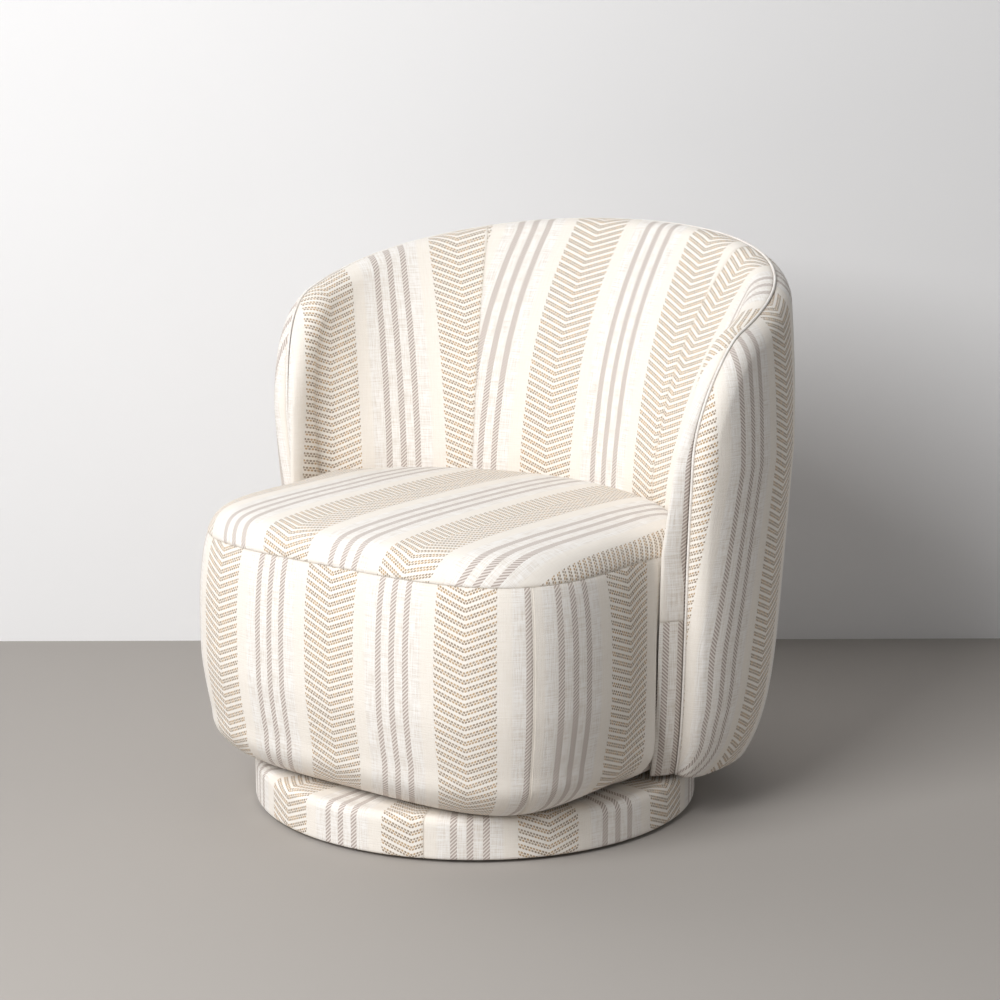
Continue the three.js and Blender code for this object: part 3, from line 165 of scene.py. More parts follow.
def outline(t):
    t = np.asarray(t, float)
    run, z = outlineAt(t)
    runA, zA = outlineAt(np.maximum(t - shell["outlineStep"], 0))
    runB, zB = outlineAt(np.minimum(t + shell["outlineStep"], 3))
    length = np.hypot(runB - runA, zB - zA)
    inRun = np.where(t == 0, 0, (zB - zA) / length)
    inZ = np.where(t == 0, -1, -(runB - runA) / length)
    return run, z, inRun, inZ


# A point of the rolled rim: degrees are counted from the crest, positive toward the outside
def rimPoint(t, side, degrees, depth):
    run, z, inRun, inZ = outline(t)
    radius = roll - depth
    inward = roll - radius * np.cos(np.radians(degrees))
    through = roll - radius * np.sin(np.radians(degrees))
    return place(side * (run + inRun * inward), z + inZ * inward, through)


def verticalShare(z):
    return 2 + (cornerHeight - np.asarray(z, float)) / (cornerHeight - shell["bottom"])


weltHalf = math.degrees((shell["weltRadius"] + shell["weltGap"]) / roll)
innerEnd, outerEnd = shell["weltDegrees"] - weltHalf, shell["weltDegrees"] + weltHalf


# The padding of the arm fronts stands forward of the frame, most beside the seat
fullness = dict(
    forward=46, inward=5, low=380, high=650, cornerStart=0.85, cornerReach=0.5, innerShare=0.25,
    innerTurn=48, outerTurn=38, outerPower=0.7, faceReach=80, padTurn=2.2, padLess=0.04,
    clothShare=0.35,
)


def armFullness(t, side, z, share):
    height = np.clip((fullness["high"] - z) / (fullness["high"] - fullness["low"]), 0, 1)
    corner = smooth((t - fullness["cornerStart"]) / fullness["cornerReach"])
    amount = height * corner * share
    return np.stack([-side * fullness["inward"] * amount, -fullness["forward"] * amount, 0 * amount], -1)


# How far round the roll the fullness reaches; padding under the cover keeps clear where it is steep
def rollShare(degrees, depth=0):
    held = depth * fullness["padTurn"]
    inner = lerp(fullness["innerShare"], 1, smooth((degrees + 90 - held) / fullness["innerTurn"]))
    outer = np.clip((innerEnd - degrees - held) / fullness["outerTurn"], 0, 1) ** fullness["outerPower"]
    return inner * outer * (1 - depth * fullness["padLess"])


def faceShare(run):
    return fullness["innerShare"] * smooth(1 - (footRun - run) / fullness["faceReach"])


# Front band and seat: a rounded rectangle from above, bellied and rolled under at the foot
seat = dict(
    halfWidth=300.8, frontDepth=249.7, backReach=330, power=3.62, centreY=-50.3, seam=371, crown=43,
    widening=15, wideningStart=-60, wideningEnd=40, wallGap=3, blend=7, belly=12, fadeStart=-100,
    fadeEnd=-14, bandEndY=-16, tuckGap=3.2, tuckBack=18, tuckDraw=8, roundPower=26, domePower=3,
    roundShare=0.75, lift=0.3, halvings=50, wallStations=241, noWall=1e9,
)
bandShares = [[1, 0], [0.95, 0.31], [0.8, 0.83], [0.57, 1], [0.44, 0.92], [0.34, 0.58],
              [0.23, 0.08], [0.11, -0.67], [0.045, -2.2], [0, -4.1]]


# The band's bulge by height, smoothed between its stations
def bandOut(z):
    share = np.clip((np.asarray(z, float) - shell["bottom"]) / (seat["seam"] - shell["bottom"]), 0, 1)
    high, out = np.array(bandShares)[::-1].T
    slope = np.gradient(out, high)
    i = np.clip(np.searchsorted(high, share, side="right") - 1, 0, len(high) - 2)
    h = high[i + 1] - high[i]
    t = (share - high[i]) / h
    value = ((1 + 2 * t) * (1 - t) ** 2 * out[i] + t * (1 - t) ** 2 * h * slope[i]
             + t * t * (3 - 2 * t) * out[i + 1] + t * t * (t - 1) * h * slope[i + 1])
    return seat["belly"] * value


# Angle 0 is the middle of the front, positive toward +X
def seatPlan(angle, out):
    angle = np.asarray(angle, float)
    sine, cosine = np.sin(angle), -np.cos(angle)
    reach = np.where(cosine > 0, seat["backReach"], seat["frontDepth"])
    n = seat["power"]
    radius = (np.abs(sine / seat["halfWidth"]) ** n + np.abs(cosine / reach) ** n) ** (-1 / n)
    x, y = radius * sine, radius * cosine
    gx = np.sign(x) * np.abs(x / seat["halfWidth"]) ** (n - 1) / seat["halfWidth"]
    gy = np.sign(y) * np.abs(y / reach) ** (n - 1) / reach
    length = np.hypot(gx, gy)
    span = seat["wideningEnd"] - seat["wideningStart"]
    wide = np.sign(x) * seat["widening"] * smooth((y + seat["centreY"] - seat["wideningStart"]) / span)
    return np.stack([x + wide + gx / length * out, y + seat["centreY"] + gy / length * out], -1)


def angleAtY(y):
    low = np.zeros_like(np.asarray(y, float))
    high = np.full_like(low, math.pi)
    for _ in range(seat["halvings"]):
        middle = (low + high) / 2
        below = seatPlan(middle, 0)[..., 1] < y
        low, high = np.where(below, middle, low), np.where(below, high, middle)
    return low


def bandPoint(angle, z, depth):
    angle, z, depth = np.broadcast_arrays(*[np.asarray(v, float) for v in (angle, z, depth)])
    y = seatPlan(angle, 0)[..., 1]
    fade = 1 - smooth((y - seat["fadeStart"]) / (seat["fadeEnd"] - seat["fadeStart"]))
    out = bandOut(z)
    p = seatPlan(angle, np.where(out > 0, out * fade, out) - depth)
    return np.stack([p[..., 0], p[..., 1], z], -1)


# The band's cover tucks in beside the arm: round the arm's front edge, then along its side
def tuckPoint(side, degrees, end, z, depth):
    degrees, end, z, depth = np.broadcast_arrays(*[np.asarray(v, float) for v in (degrees, end, z, depth)])
    share = verticalShare(z)
    edge = rimPoint(share, 1, degrees, 0)
    off = rimPoint(share, 1, degrees, -seat["tuckGap"]) - edge
    off *= ((seat["tuckGap"] + depth) / np.linalg.norm(off, axis=-1))[..., None]
    beside = edge + off
    beside[..., 0] -= seat["tuckDraw"] * end
    beside[..., 1] += seat["tuckBack"] * end
    free = seatPlan(angleAtY(beside[..., 1]), np.minimum(bandOut(z), 0) - depth)
    return np.stack([side * np.minimum(beside[..., 0], free[..., 0]), beside[..., 1], z], -1)


def innerWallLine():
    run = np.linspace(-footRun, footRun, seat["wallStations"])
    return place(run, shell["seatLevel"], wallAt(run, shell["seatLevel"]))


innerWall = innerWallLine()


def distanceToWall(direction):
    a, b = innerWall[:-1, :2], innerWall[1:, :2]
    ex, ey = (b - a).T
    ax, ay = a[:, 0], a[:, 1] - seat["centreY"]
    cross = direction[1] * ex - direction[0] * ey
    t = (ay * ex - ax * ey) / cross
    u = (direction[0] * ay - direction[1] * ax) / cross
    hits = t[(t > 0) & (u >= 0) & (u <= 1)]
    return hits.min() if len(hits) else seat["noWall"]


# Edge of the seat from above: the band's curve in front, the inner wall behind, blended smoothly
def seatEdges(angles):
    free = seatPlan(angles, 0) - [0, seat["centreY"]]
    own = np.linalg.norm(free, axis=-1)
    direction = free / own[:, None]
    limit = np.array([distanceToWall(d) for d in direction]) - seat["wallGap"]
    least = np.minimum(own, limit)
    total = np.exp((least - own) / seat["blend"]) + np.exp((least - limit) / seat["blend"])
    return direction, least - seat["blend"] * np.log(total)


def seatPoint(direction, edge, share, depth):
    bulge = share ** seat["roundPower"]
    dome = share ** seat["domePower"]
    part = seat["roundShare"]
    rise = seat["crown"] * (part * (1 - bulge) + (1 - part) * (1 - dome))
    radius = edge * share - depth * bulge
    z = seat["seam"] + seat["lift"] + rise - depth * (1 - bulge)
    return np.stack([direction[..., 0] * radius, seat["centreY"] + direction[..., 1] * radius,
                     np.broadcast_to(z, radius.shape)], -1)


# Stations from one value to another, closer together beside the ends where a seam turns the cloth in
def spread(start, end, step, edges=(), unit=1):
    length = abs(end - start) * unit
    middle = np.linspace(start, end, max(int(round(length / step)), 1) + 1)
    near = [e * (end - start) / length for e in edges]
    extra = [start + n for n in near] + [end - n for n in near]
    return np.unique(np.round(np.concatenate([middle, extra]), 9))[:: 1 if end > start else -1]


seamEdges = (0.8, 1.7, 2.8, 4.2)


def arcs(points, axis):
    steps = np.linalg.norm(np.diff(points, axis=axis), axis=-1)
    start = np.zeros_like(np.take(steps, [0], axis))
    return np.concatenate([start, np.cumsum(steps, axis)], axis)


# Cloth lengths on a face of the wall: across from its middle line, and up from a height
def clothTable(inner, low, middle=0):
    runs = np.linspace(0, footRun, shell["tableRuns"])
    heights = np.linspace(low, shell["backTop"], shell["tableHeights"])
    gridRun, gridZ = np.meshgrid(runs, heights)
    points = place(gridRun, gridZ, wallAt(gridRun, gridZ) if inner else 0)
    across, up = arcs(points, 1), arcs(points, 0)
    if middle:
        across -= np.stack([np.interp(middle, runs, row) for row in across])[:, None]

    def lookUp(table, run, z):
        c = np.clip(run / runs[1], 0, len(runs) - shell["tableEnd"])
        r = np.clip((z - low) / (heights[1] - low), 0, len(heights) - shell["tableEnd"])
        i, j = r.astype(int), c.astype(int)
        top = lerp(table[i, j], table[i, j + 1], c - j)
        return lerp(top, lerp(table[i + 1, j], table[i + 1, j + 1], c - j), r - i)

    return lambda run, z: (lookUp(across, run, z), lookUp(up, run, z) + np.minimum(z - low, 0))


def bottomRun(run):
    inside = run * shell["seamBottom"] / shell["seamTop"]
    share = np.clip((run - shell["seamTop"]) / (footRun - shell["seamTop"]), 0, 1)
    return np.where(run <= shell["seamTop"], inside, lerp(shell["seamBottom"], footRun, share))


# One face of the wall carried round the rolled rim and, past the arm corners, down the arm fronts.
# Columns are signed stations of the rim's outline, and every block holds points and cloth lengths.
def shellBlocks(columns, heights, shares, degrees, inner, table, feet=(), depth=0):
    side = np.where(columns < 0, -1.0, 1.0)
    t = np.abs(columns)
    run, rimZ, inRun, inZ = outline(t)
    inward = joinDrop(run) if inner else roll
    topRun, topZ = run + inRun * inward, rimZ + inZ * inward
    low, last = heights[0], heights[-1]
    z = np.stack([np.full_like(t, h) for h in heights] + [lerp(last, topZ, s) for s in shares[1:]])
    wallRun = np.broadcast_to(topRun, z.shape)
    if inner:
        wallRun = lerp(bottomRun(topRun), topRun, (z - low) / (topZ - low))
    wallPoints = place(side * wallRun, z, wallAt(wallRun, z) - depth if inner else depth)
    turn = np.degrees(joinAngle(run)) / 90 if inner else 1
    angles = np.asarray(degrees)[:, None]
    rolled = np.where(angles < 0, angles * turn, angles * np.ones_like(t))
    rollPoints = rimPoint(t, side, rolled, depth)
    length = arcs(rollPoints, 0)
    if inner:
        wallPoints = wallPoints + armFullness(t, side, wallPoints[..., 2], faceShare(wallRun))
        rollPoints = rollPoints + armFullness(t, side, rollPoints[..., 2], rollShare(rolled, depth))
    near = smooth((z - topZ + shell["joinReach"]) / shell["joinReach"])[..., None]
    wallPoints = wallPoints + (rollPoints[0] - wallPoints[-1]) * near
    across, up = table(wallRun, z)
    wallCloth = np.stack([side * across, up], -1)
    length = lerp(length, arcs(rollPoints, 0), fullness["clothShare"])
    outward = np.stack([-inRun * side, -inZ], -1)
    rollCloth = wallCloth[-1] + outward * length[..., None]
    blocks = [dict(points=wallPoints, cloth=wallCloth), dict(points=rollPoints, cloth=rollCloth)]
    for column, end in ((0, -1), (len(t) - 1, 1)):
        if t[column] < 2 or side[column] != end:
            continue
        heightsDown = np.concatenate([np.asarray(feet, float), z[:, column]])
        points = rimPoint(verticalShare(heightsDown)[:, None], end, np.asarray(degrees), depth)
        frontLength = arcs(points, 1)
        if inner:
            points = points + armFullness(2, end, points[..., 2], rollShare(np.asarray(degrees), depth))
        frontLength = lerp(frontLength, arcs(points, 1), fullness["clothShare"])
        points[len(feet):, 0] = wallPoints[:, column]
        points[-1] = rollPoints[:, column]
        footAcross, footUp = table(np.full_like(heightsDown, footRun), heightsDown)
        cloth = np.stack([end * (footAcross[:, None] + frontLength), footUp[:, None] + 0 * frontLength], -1)
        blocks.append(dict(points=points, cloth=cloth))
    return blocks


# The stripes of a block are counted from this line of its cloth, at this scale
def striped(block, across, scale=1):
    block["stripe"] = (across, scale)
    return block


cuts = {}
mergeWithin = 0.03


# Joins the blocks of a piece into one mesh with its cloth lengths, in metres, as the map "cloth"
def clothMesh(name, blocks, outward):
    points, cloth, flat, faces = [], [], [], []
    for block in blocks:
        rows, columns = block["points"].shape[:2]
        start = sum(len(p) for p in points)
        across, scale = block.get("stripe", (0, 1))
        points.append(block["points"].reshape(-1, 3))
        flat.append(block["cloth"].reshape(-1, 2))
        cloth.append((flat[-1] - [across, 0]) / [scale, 1])
        a = (start + np.arange(rows - 1)[:, None] * columns + np.arange(columns - 1)).ravel()
        faces.append(np.stack([a, a + 1, a + columns + 1, a + columns], -1))
    points = (np.concatenate(points) + [0, axisY, 0]) * mm
    cloth, flat, faces = np.concatenate(cloth) * mm, np.concatenate(flat) * mm, np.concatenate(faces)
    cuts[name] = (flat.max(0) - flat.min(0)).tolist()
    mesh = bpy.data.meshes.new(name)
    mesh.from_pydata(points.tolist(), [], faces.tolist())
    mesh.uv_layers.new(name="cloth").data.foreach_set("uv", cloth[faces.ravel()].ravel())
    work = bmesh.new()
    work.from_mesh(mesh)
    bmesh.ops.remove_doubles(work, verts=work.verts, dist=mergeWithin * mm)
    bmesh.ops.dissolve_degenerate(work, edges=work.edges, dist=mergeWithin * mm / 3)
    bmesh.ops.recalc_face_normals(work, faces=work.faces)
    facing = sum(f.normal.dot(outward(f.calc_center_median())) * f.calc_area() for f in work.faces)
    if facing < 0:
        bmesh.ops.reverse_faces(work, faces=work.faces)
    for f in work.faces:
        f.smooth = True
    work.to_mesh(mesh)
    work.free()
    piece = bpy.data.objects.new(name, mesh)
    bpy.context.scene.collection.objects.link(piece)
    return piece


shellMiddle = Vector((0, (shell["centreY"] + axisY) * mm, 0))


def awayFromMiddle(p):
    return Vector((p.x - shellMiddle.x, p.y - shellMiddle.y, 0)).normalized()


def towardMiddle(p):
    return -awayFromMiddle(p)


def fromAxis(p):
    return Vector((p.x, p.y, 0))


def upward(p):
    return Vector((0, 0, 1))


# Pairs of points at the open edges of a piece
def openEdges(mesh, places):
    counts = np.zeros(len(mesh.edges), int)
    index = {tuple(sorted(e.vertices)): e.index for e in mesh.edges}
    for polygon in mesh.polygons:
        for key in polygon.edge_keys:
            counts[index[tuple(sorted(key))]] += 1
    return [[places[e.vertices[0]], places[e.vertices[1]]] for e in mesh.edges if counts[e.index] == 1]


# How cloth is drawn in beside a seam: depth by distance, small puckers that run from it, and how far the
# painted shade in its groove reaches
tuck = dict(width=2.0, reach=16, slack=0.3, seamTurn=0.6, lineStep=1.2, riseWidths=1.6, fineShare=0.5,
            finePitch=0.43, seamShadeReach=3, farReaches=4)


# Turns the cloth in at the edges of a piece, by "turn", and at its inner seams, and stores a painted shade
# for these grooves as the point map "seam"
def tuckIn(piece, turn, pucker=0.35, pitch=11, seams=()):
    width, reach = tuck["width"], tuck["reach"]
    mesh = piece.data
    places = np.empty(len(mesh.vertices) * 3)
    normals = np.empty(len(mesh.vertices) * 3)
    mesh.vertices.foreach_get("co", places)
    mesh.vertices.foreach_get("normal", normals)
    places, normals = places.reshape(-1, 3), normals.reshape(-1, 3)
    lines = openEdges(mesh, places)
    edgeCount = len(lines)
    for seam in seams:
        seam = (seam + [0, axisY, 0]) * mm
        lines += [[a, b] for a, b in zip(seam[:-1], seam[1:])]
    near, turns = [], []
    for i, (a, b) in enumerate(lines):
        count = max(int(np.linalg.norm(b - a) / (tuck["lineStep"] * mm)), 1)
        near += [lerp(a, b, j / count) for j in range(count)]
        turns += [turn if i < edgeCount else tuck["seamTurn"]] * count
    tree = kdtree.KDTree(len(near))
    for i, p in enumerate(near):
        tree.insert(p, i)
    tree.balance()
    moves, seamShade = np.zeros(len(places)), np.zeros(len(places))
    for i, p in enumerate(places):
        found, at, distance = tree.find(p)
        distance /= mm
        if distance > reach * tuck["farReaches"]:
            continue
        fine = noise.noise(found / (pitch * tuck["finePitch"] * mm))
        ripple = noise.noise(found / (pitch * mm)) + tuck["fineShare"] * fine
        rise = 1 - math.exp(-((distance / (width * tuck["riseWidths"])) ** 2))
        rise = math.exp(-distance / reach) * rise
        # Painted shade: the cloth is darkened in the groove of the seam or edge, most at its line
        seamShade[i] = math.exp(-((distance / tuck["seamShadeReach"]) ** 2))
        moves[i] = (-turns[at] * math.exp(-((distance / width) ** 2)) + pucker * ripple * rise
                    - tuck["slack"] * math.exp(-distance / reach))
    places += normals * (moves * mm)[:, None]
    mesh.vertices.foreach_set("co", places.ravel())
    mesh.attributes.new("seam", "FLOAT", "POINT").data.foreach_set("value", seamShade)
    mesh.update()


def thicken(piece, thickness):
    solid = piece.modifiers.new("thickness", "SOLIDIFY")
    solid.thickness = thickness * mm
    solid.offset = -1
    solid.use_even_offset = False


def finish(piece, material, body, nodes):
    piece.data.materials.clear()
    piece.data.materials.append(material)
    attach(piece, body)
    if nodes:
        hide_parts(*nodes)
    return piece


# A piece of cloth: its cut is the extent of its cloth lengths, and its area is measured before it is
# given its thickness
def clothPiece(piece, thickness):
    width, length = cuts[piece.name]
    area = min(sum(p.area for p in piece.data.polygons), width * length)
    thicken(piece, thickness)
    print("cloth", piece.name, "cut", round(width, 3), "x", round(length, 3), "area", round(area, 3))


# Shader maths: an expression on values adds its Math nodes
class Value:
    def __init__(self, shader, socket):
        self.shader, self.socket = shader, socket

    def maths(self, operation, *others, clamp=False):
        settings = dict(operation=operation, use_clamp=clamp)
        return self.shader.node("ShaderNodeMath", settings, dict(enumerate((self, *others))))

    def __add__(self, other):
        return self.maths("ADD", other)

    def __sub__(self, other):
        return self.maths("SUBTRACT", other)

    def __rsub__(self, other):
        return self.shader.node("ShaderNodeMath", dict(operation="SUBTRACT"), {0: other, 1: self})

    def __mul__(self, other):
        return self.maths("MULTIPLY", other)

    def __truediv__(self, other):
        return self.maths("DIVIDE", other)

    __radd__ = __add__
    __rmul__ = __mul__

    def __abs__(self):
        return self.maths("ABSOLUTE")

    def fract(self):
        return self.maths("FRACT")

    def floor(self):
        return self.maths("FLOOR")

    def sine(self):
        return self.maths("SINE")

    # 1 where the value is under the limit, with an edge of this softness
    def under(self, limit, soft):
        return ((limit - self) / soft).maths("ADD", 0.5, clamp=True)


class Shader:
    def __init__(self, name, roughness=0.9, sheen=0, metallic=0):
        self.material = bpy.data.materials.new(name)
        self.material.use_nodes = True
        self.tree = self.material.node_tree
        self.surface = self.tree.nodes["Principled BSDF"]
        self.surface.inputs["Roughness"].default_value = roughness
        self.surface.inputs["Metallic"].default_value = metallic
        self.surface.inputs["Sheen Weight"].default_value = sheen

    def feed(self, socket, value):
        if isinstance(value, Value):
            self.tree.links.new(value.socket, socket)
        else:
            socket.default_value = value

    def node(self, kind, settings=None, sockets=None, out=0):
        made = self.tree.nodes.new(kind)
        for key, value in (settings or {}).items():
            setattr(made, key, value)
        for key, value in (sockets or {}).items():
            self.feed(made.inputs[key], value)
        return Value(self, made.outputs[out])

    def mix(self, factor, a, b, blend="MIX"):
        settings = dict(data_type="RGBA", blend_type=blend)
        return self.node("ShaderNodeMix", settings, {0: factor, 6: a, 7: b}, out=2)

    def vector(self, x, y, z=0.0):
        return self.node("ShaderNodeCombineXYZ", None, {0: x, 1: y, 2: z})

    def parts(self, vector):
        return [self.node("ShaderNodeSeparateXYZ", None, {0: vector}, out=i) for i in range(3)]

    def place(self):
        return self.node("ShaderNodeTexCoord", None, None, out=3)

    def noise(self, vector, scale, detail=2.0, roughness=0.5):
        sockets = {"Vector": vector, "Scale": scale, "Detail": detail, "Roughness": roughness}
        return self.node("ShaderNodeTexNoise", None, sockets)

    def bump(self, height, distance, strength=1.0):
        sockets = {"Strength": strength, "Distance": distance, "Height": height}
        self.feed(self.surface.inputs["Normal"], self.node("ShaderNodeBump", None, sockets))

    def finish(self, colour, roughness=None):
        self.feed(self.surface.inputs["Base Color"], colour)
        if roughness is not None:
            self.feed(self.surface.inputs["Roughness"], roughness)
        return self.material


# A colour written as it shows on a screen
def tint(r, g, b):
    linear = [c / 255 / 12.92 if c <= 10.31 else ((c / 255 + 0.055) / 1.055) ** 2.4 for c in (r, g, b)]
    return (*linear, 1.0)


# Striped cloth: woven chevrons between plain bands and three twill lines, lengths in millimetres
stripes = dict(
    repeat=203, chevronHalf=40.5, chevronSlope=0.4, chevronEdge=0.7, rowPitch=9.9, dotPitch=4.0,
    dotHalf=0.37, dotHalfHigh=0.42, dotEdge=0.5, dotLeast=0.72, dotSpread=0.28, dotRise=0.9,
    warmAbove=0.62, bandEnd=59.5, bandEdge=5.0, bandShare=0.9, ribPitch=2.1, ribShare=0.14,
    lineAt=80.8, lineHalf=4.3, strokePitch=5.0, strokeShare=0.52, strokeEdge=0.12, strokeRise=0.6,
    band=tint(249, 242, 232), rowGround=tint(247, 238, 226), rowLine=tint(251, 246, 239),
    dot=tint(134, 112, 88), dotWarm=tint(190, 160, 122), lineGround=tint(236, 229, 223),
    stroke=tint(184, 170, 162),
)
# The weave's seam-shade colour and share darken the cloth in the grooves at seams and edges: painted shade
weave = dict(
    thread=1.25, threadRise=0.35, slubLength=26, slubWidth=1.6, slubRise=1.6, slubMiddle=0.36,
    slubContrast=2.3, shadeShare=0.85, seamShadeShare=0.22, patchScale=3.1, patchAbove=0.42,
    patchShare=0.16, bumpHeight=0.0005, bumpStrength=0.55, roughness=0.92, roughest=0.95,
    slubGloss=0.1, sheen=0.12, sheenRoughness=0.5, ground=tint(253, 250, 246),
    shade=tint(226, 217, 206), seamShade=tint(186, 172, 156), patch=tint(222, 212, 200),
)


# The stripes over a ground: returns the colour and the height with them
def stripeOver(s, u, v, colour, height):
    off = u.maths("PINGPONG", stripes["repeat"] / 2)
    half = stripes["chevronHalf"]
    chevron = off.under(half, stripes["chevronEdge"])
    band = off.under(stripes["bandEnd"], stripes["bandEdge"]) - off.under(half, stripes["bandEdge"])
    lined = (1 - abs(off - stripes["lineAt"]).maths("GREATER_THAN", stripes["lineHalf"])
             + off.maths("GREATER_THAN", stripes["repeat"] / 2 - stripes["lineHalf"]))
    # Each row of a chevron has two rows of dots and a plain one
    row = (v - off * stripes["chevronSlope"]) / stripes["rowPitch"]
    third = row.fract() * 3
    rank = third.floor()
    count = off / stripes["dotPitch"] + rank * 0.5
    x = (count.fract() - 0.5) / stripes["dotHalf"]
    y = (third.fract() - 0.5) / stripes["dotHalfHigh"]
    dots = (x * x + y * y).under(1.0, stripes["dotEdge"]) * rank.under(1.5, 0.1)
    place = s.vector(count.floor() + (u / stripes["repeat"]).floor() * 31, row.floor() * 3 + rank)
    cell = s.node("ShaderNodeTexWhiteNoise", dict(noise_dimensions="3D"), {0: place})
    warm = cell.maths("GREATER_THAN", stripes["warmAbove"])
    dotColour = s.mix(warm, stripes["dot"], stripes["dotWarm"])
    rows = s.mix(rank.maths("GREATER_THAN", 1.5), stripes["rowGround"], stripes["rowLine"])
    rows = s.mix(dots * (stripes["dotLeast"] + cell * stripes["dotSpread"]), rows, dotColour)
    strokes = ((v - u) / stripes["strokePitch"]).fract()
    strokes = strokes.under(stripes["strokeShare"], stripes["strokeEdge"])
    line = s.mix(strokes, stripes["lineGround"], stripes["stroke"])
    rib = (u * (fullTurn / stripes["ribPitch"])).sine()
    fine = 1 - stripes["ribShare"] + stripes["ribShare"] * rib
    colour = s.mix(band * fine * stripes["bandShare"], colour, stripes["band"])
    colour = s.mix(chevron, colour, rows)
    colour = s.mix(lined, colour, line)
    height = height + chevron * dots * stripes["dotRise"] + lined * strokes * stripes["strokeRise"]
    return colour, height


def clothMaterial(name="striped_cloth", plain=False):
    s = Shader(name, roughness=weave["roughness"], sheen=weave["sheen"])
    s.surface.inputs["Sheen Roughness"].default_value = weave["sheenRoughness"]
    uv = s.node("ShaderNodeUVMap", dict(uv_map="cloth"))
    across, up, _ = s.parts(uv)
    u, v = across * (1 / mm), up * (1 / mm)
    threadU = (u * (fullTurn / weave["thread"])).sine()
    threadV = (v * (fullTurn / weave["thread"])).sine()
    length, width = weave["slubLength"], weave["slubWidth"]
    weft = s.noise(s.vector(u / length, v / width, 0.0), scale=1.0, detail=3.0)
    warp = s.noise(s.vector(u / width, v / length, 4.0), scale=1.0, detail=3.0)
    slub = (weft + warp) - 1.0
    shaded = weave["slubMiddle"] - slub * weave["slubContrast"]
    shaded = shaded.maths("MULTIPLY", weave["shadeShare"], clamp=True)
    colour = s.mix(shaded, weave["ground"], weave["shade"])
    height = slub * weave["slubRise"] + threadU * threadV * weave["threadRise"]
    if not plain:
        colour, height = stripeOver(s, u, v, colour, height)
    # Painted shade: the cloth darkens in the grooves at its seams and tucked edges, by the point map "seam"
    seamShade = s.node("ShaderNodeAttribute", dict(attribute_name="seam"), None, out=2)
    patch = s.noise(s.place(), scale=weave["patchScale"], detail=3.0) - weave["patchAbove"]
    patch = patch.maths("MULTIPLY", weave["patchShare"], clamp=True)
    colour = s.mix(seamShade * weave["seamShadeShare"], colour, weave["seamShade"])
    colour = s.mix(patch, colour, weave["patch"])
    s.bump(height, distance=weave["bumpHeight"], strength=weave["bumpStrength"])
    rough = weave["roughest"] - slub * weave["slubGloss"]
    return s.finish(colour, rough.maths("ADD", 0.0, clamp=True))


# Solid wood reads its own place, with the grain drawn out along one way
def woodMaterial(name, light, dark, stretch, rings):
    s = Shader(name, roughness=0.6)
    x, y, z = s.parts(s.place())
    where = s.vector(x * stretch[0], y * stretch[1], z * stretch[2])
    wave = s.noise(where, scale=9.0, detail=4.0, roughness=0.6)
    grain = ((wave * rings).sine() * 0.5 + 0.5) * 0.6 + s.noise(where, scale=60.0, detail=2.0) * 0.4
    s.bump(grain, distance=0.0004, strength=0.35)
    return s.finish(s.mix(grain, light, dark), 0.5 + grain * 0.25)


# Plywood shows its layers on cut edges, which face sideways, and a plain veneer elsewhere
def plywoodMaterial(layer=0.003):
    s = Shader("birch_plywood", roughness=0.65)
    x, y, z = s.parts(s.place())
    _, _, upwardness = s.parts(s.node("ShaderNodeNewGeometry", None, None, out=1))
    cutEdge = abs(upwardness).under(0.5, 0.1)
    layers = (z * (fullTurn / layer)).sine().maths("GREATER_THAN", 0.1)
    veneer = s.noise(s.vector(x * 0.6, y * 7.0, z * 0.6), scale=12.0, detail=4.0)
    face = s.mix(veneer, tint(226, 200, 160), tint(186, 150, 106))
    edge = s.mix(layers, tint(206, 174, 130), tint(150, 112, 74))
    s.bump(veneer + layers * cutEdge * 0.6, distance=0.0004, strength=0.4)
    return s.finish(s.mix(cutEdge * 0.8, face, edge), 0.55 + veneer * 0.2)


# Boards, felts, plastic and thread: coarse and fine grains of two colours
def speckledMaterial(name, light, dark, scale, depth, roughness, sheen=0):
    s = Shader(name, roughness=roughness, sheen=sheen)
    where = s.place()
    coarse = s.noise(where, scale=scale, detail=5.0, roughness=0.7)
    fine = s.noise(where, scale=scale * 6, detail=2.0, roughness=0.6)
    s.bump(coarse * 0.6 + fine * 0.4, distance=depth, strength=0.6)
    grains = ((coarse + fine) - 0.55).maths("MULTIPLY", 1.6, clamp=True)
    return s.finish(s.mix(grains, dark, light), roughness - fine * 0.12)


# Metal drawn out along x by rolling, a little worn, with a fine peel
def metalMaterial(name, colour, dark, roughness, metallic, peel):
    s = Shader(name, metallic=metallic)
    where = s.place()
    x, y, z = s.parts(where)
    rolled = s.noise(s.vector(x * 2, y * 40, z * 40), scale=14.0, detail=3.0)
    worn = s.noise(where, scale=34.0, detail=5.0, roughness=0.7) - 0.5
    worn = worn.maths("MULTIPLY", 2.4, clamp=True)
    peeled = s.noise(where, scale=900.0, detail=1.0) * peel
    s.bump(rolled * 0.3 + peeled, distance=0.0002, strength=0.5)
    return s.finish(s.mix(worn, colour, dark), roughness + rolled * 0.16 + worn * 0.14)


def foamMaterial(name, light, dark):
    s = Shader(name, roughness=0.95)
    cells = s.node("ShaderNodeTexVoronoi", None, {"Vector": s.place(), "Scale": 520.0})
    soft = s.noise(s.place(), scale=18.0, detail=3.0)
    s.bump(cells, distance=0.0006, strength=0.7)
    return s.finish(s.mix((cells * 0.6 + soft * 0.5).maths("ADD", 0, clamp=True), dark, light))


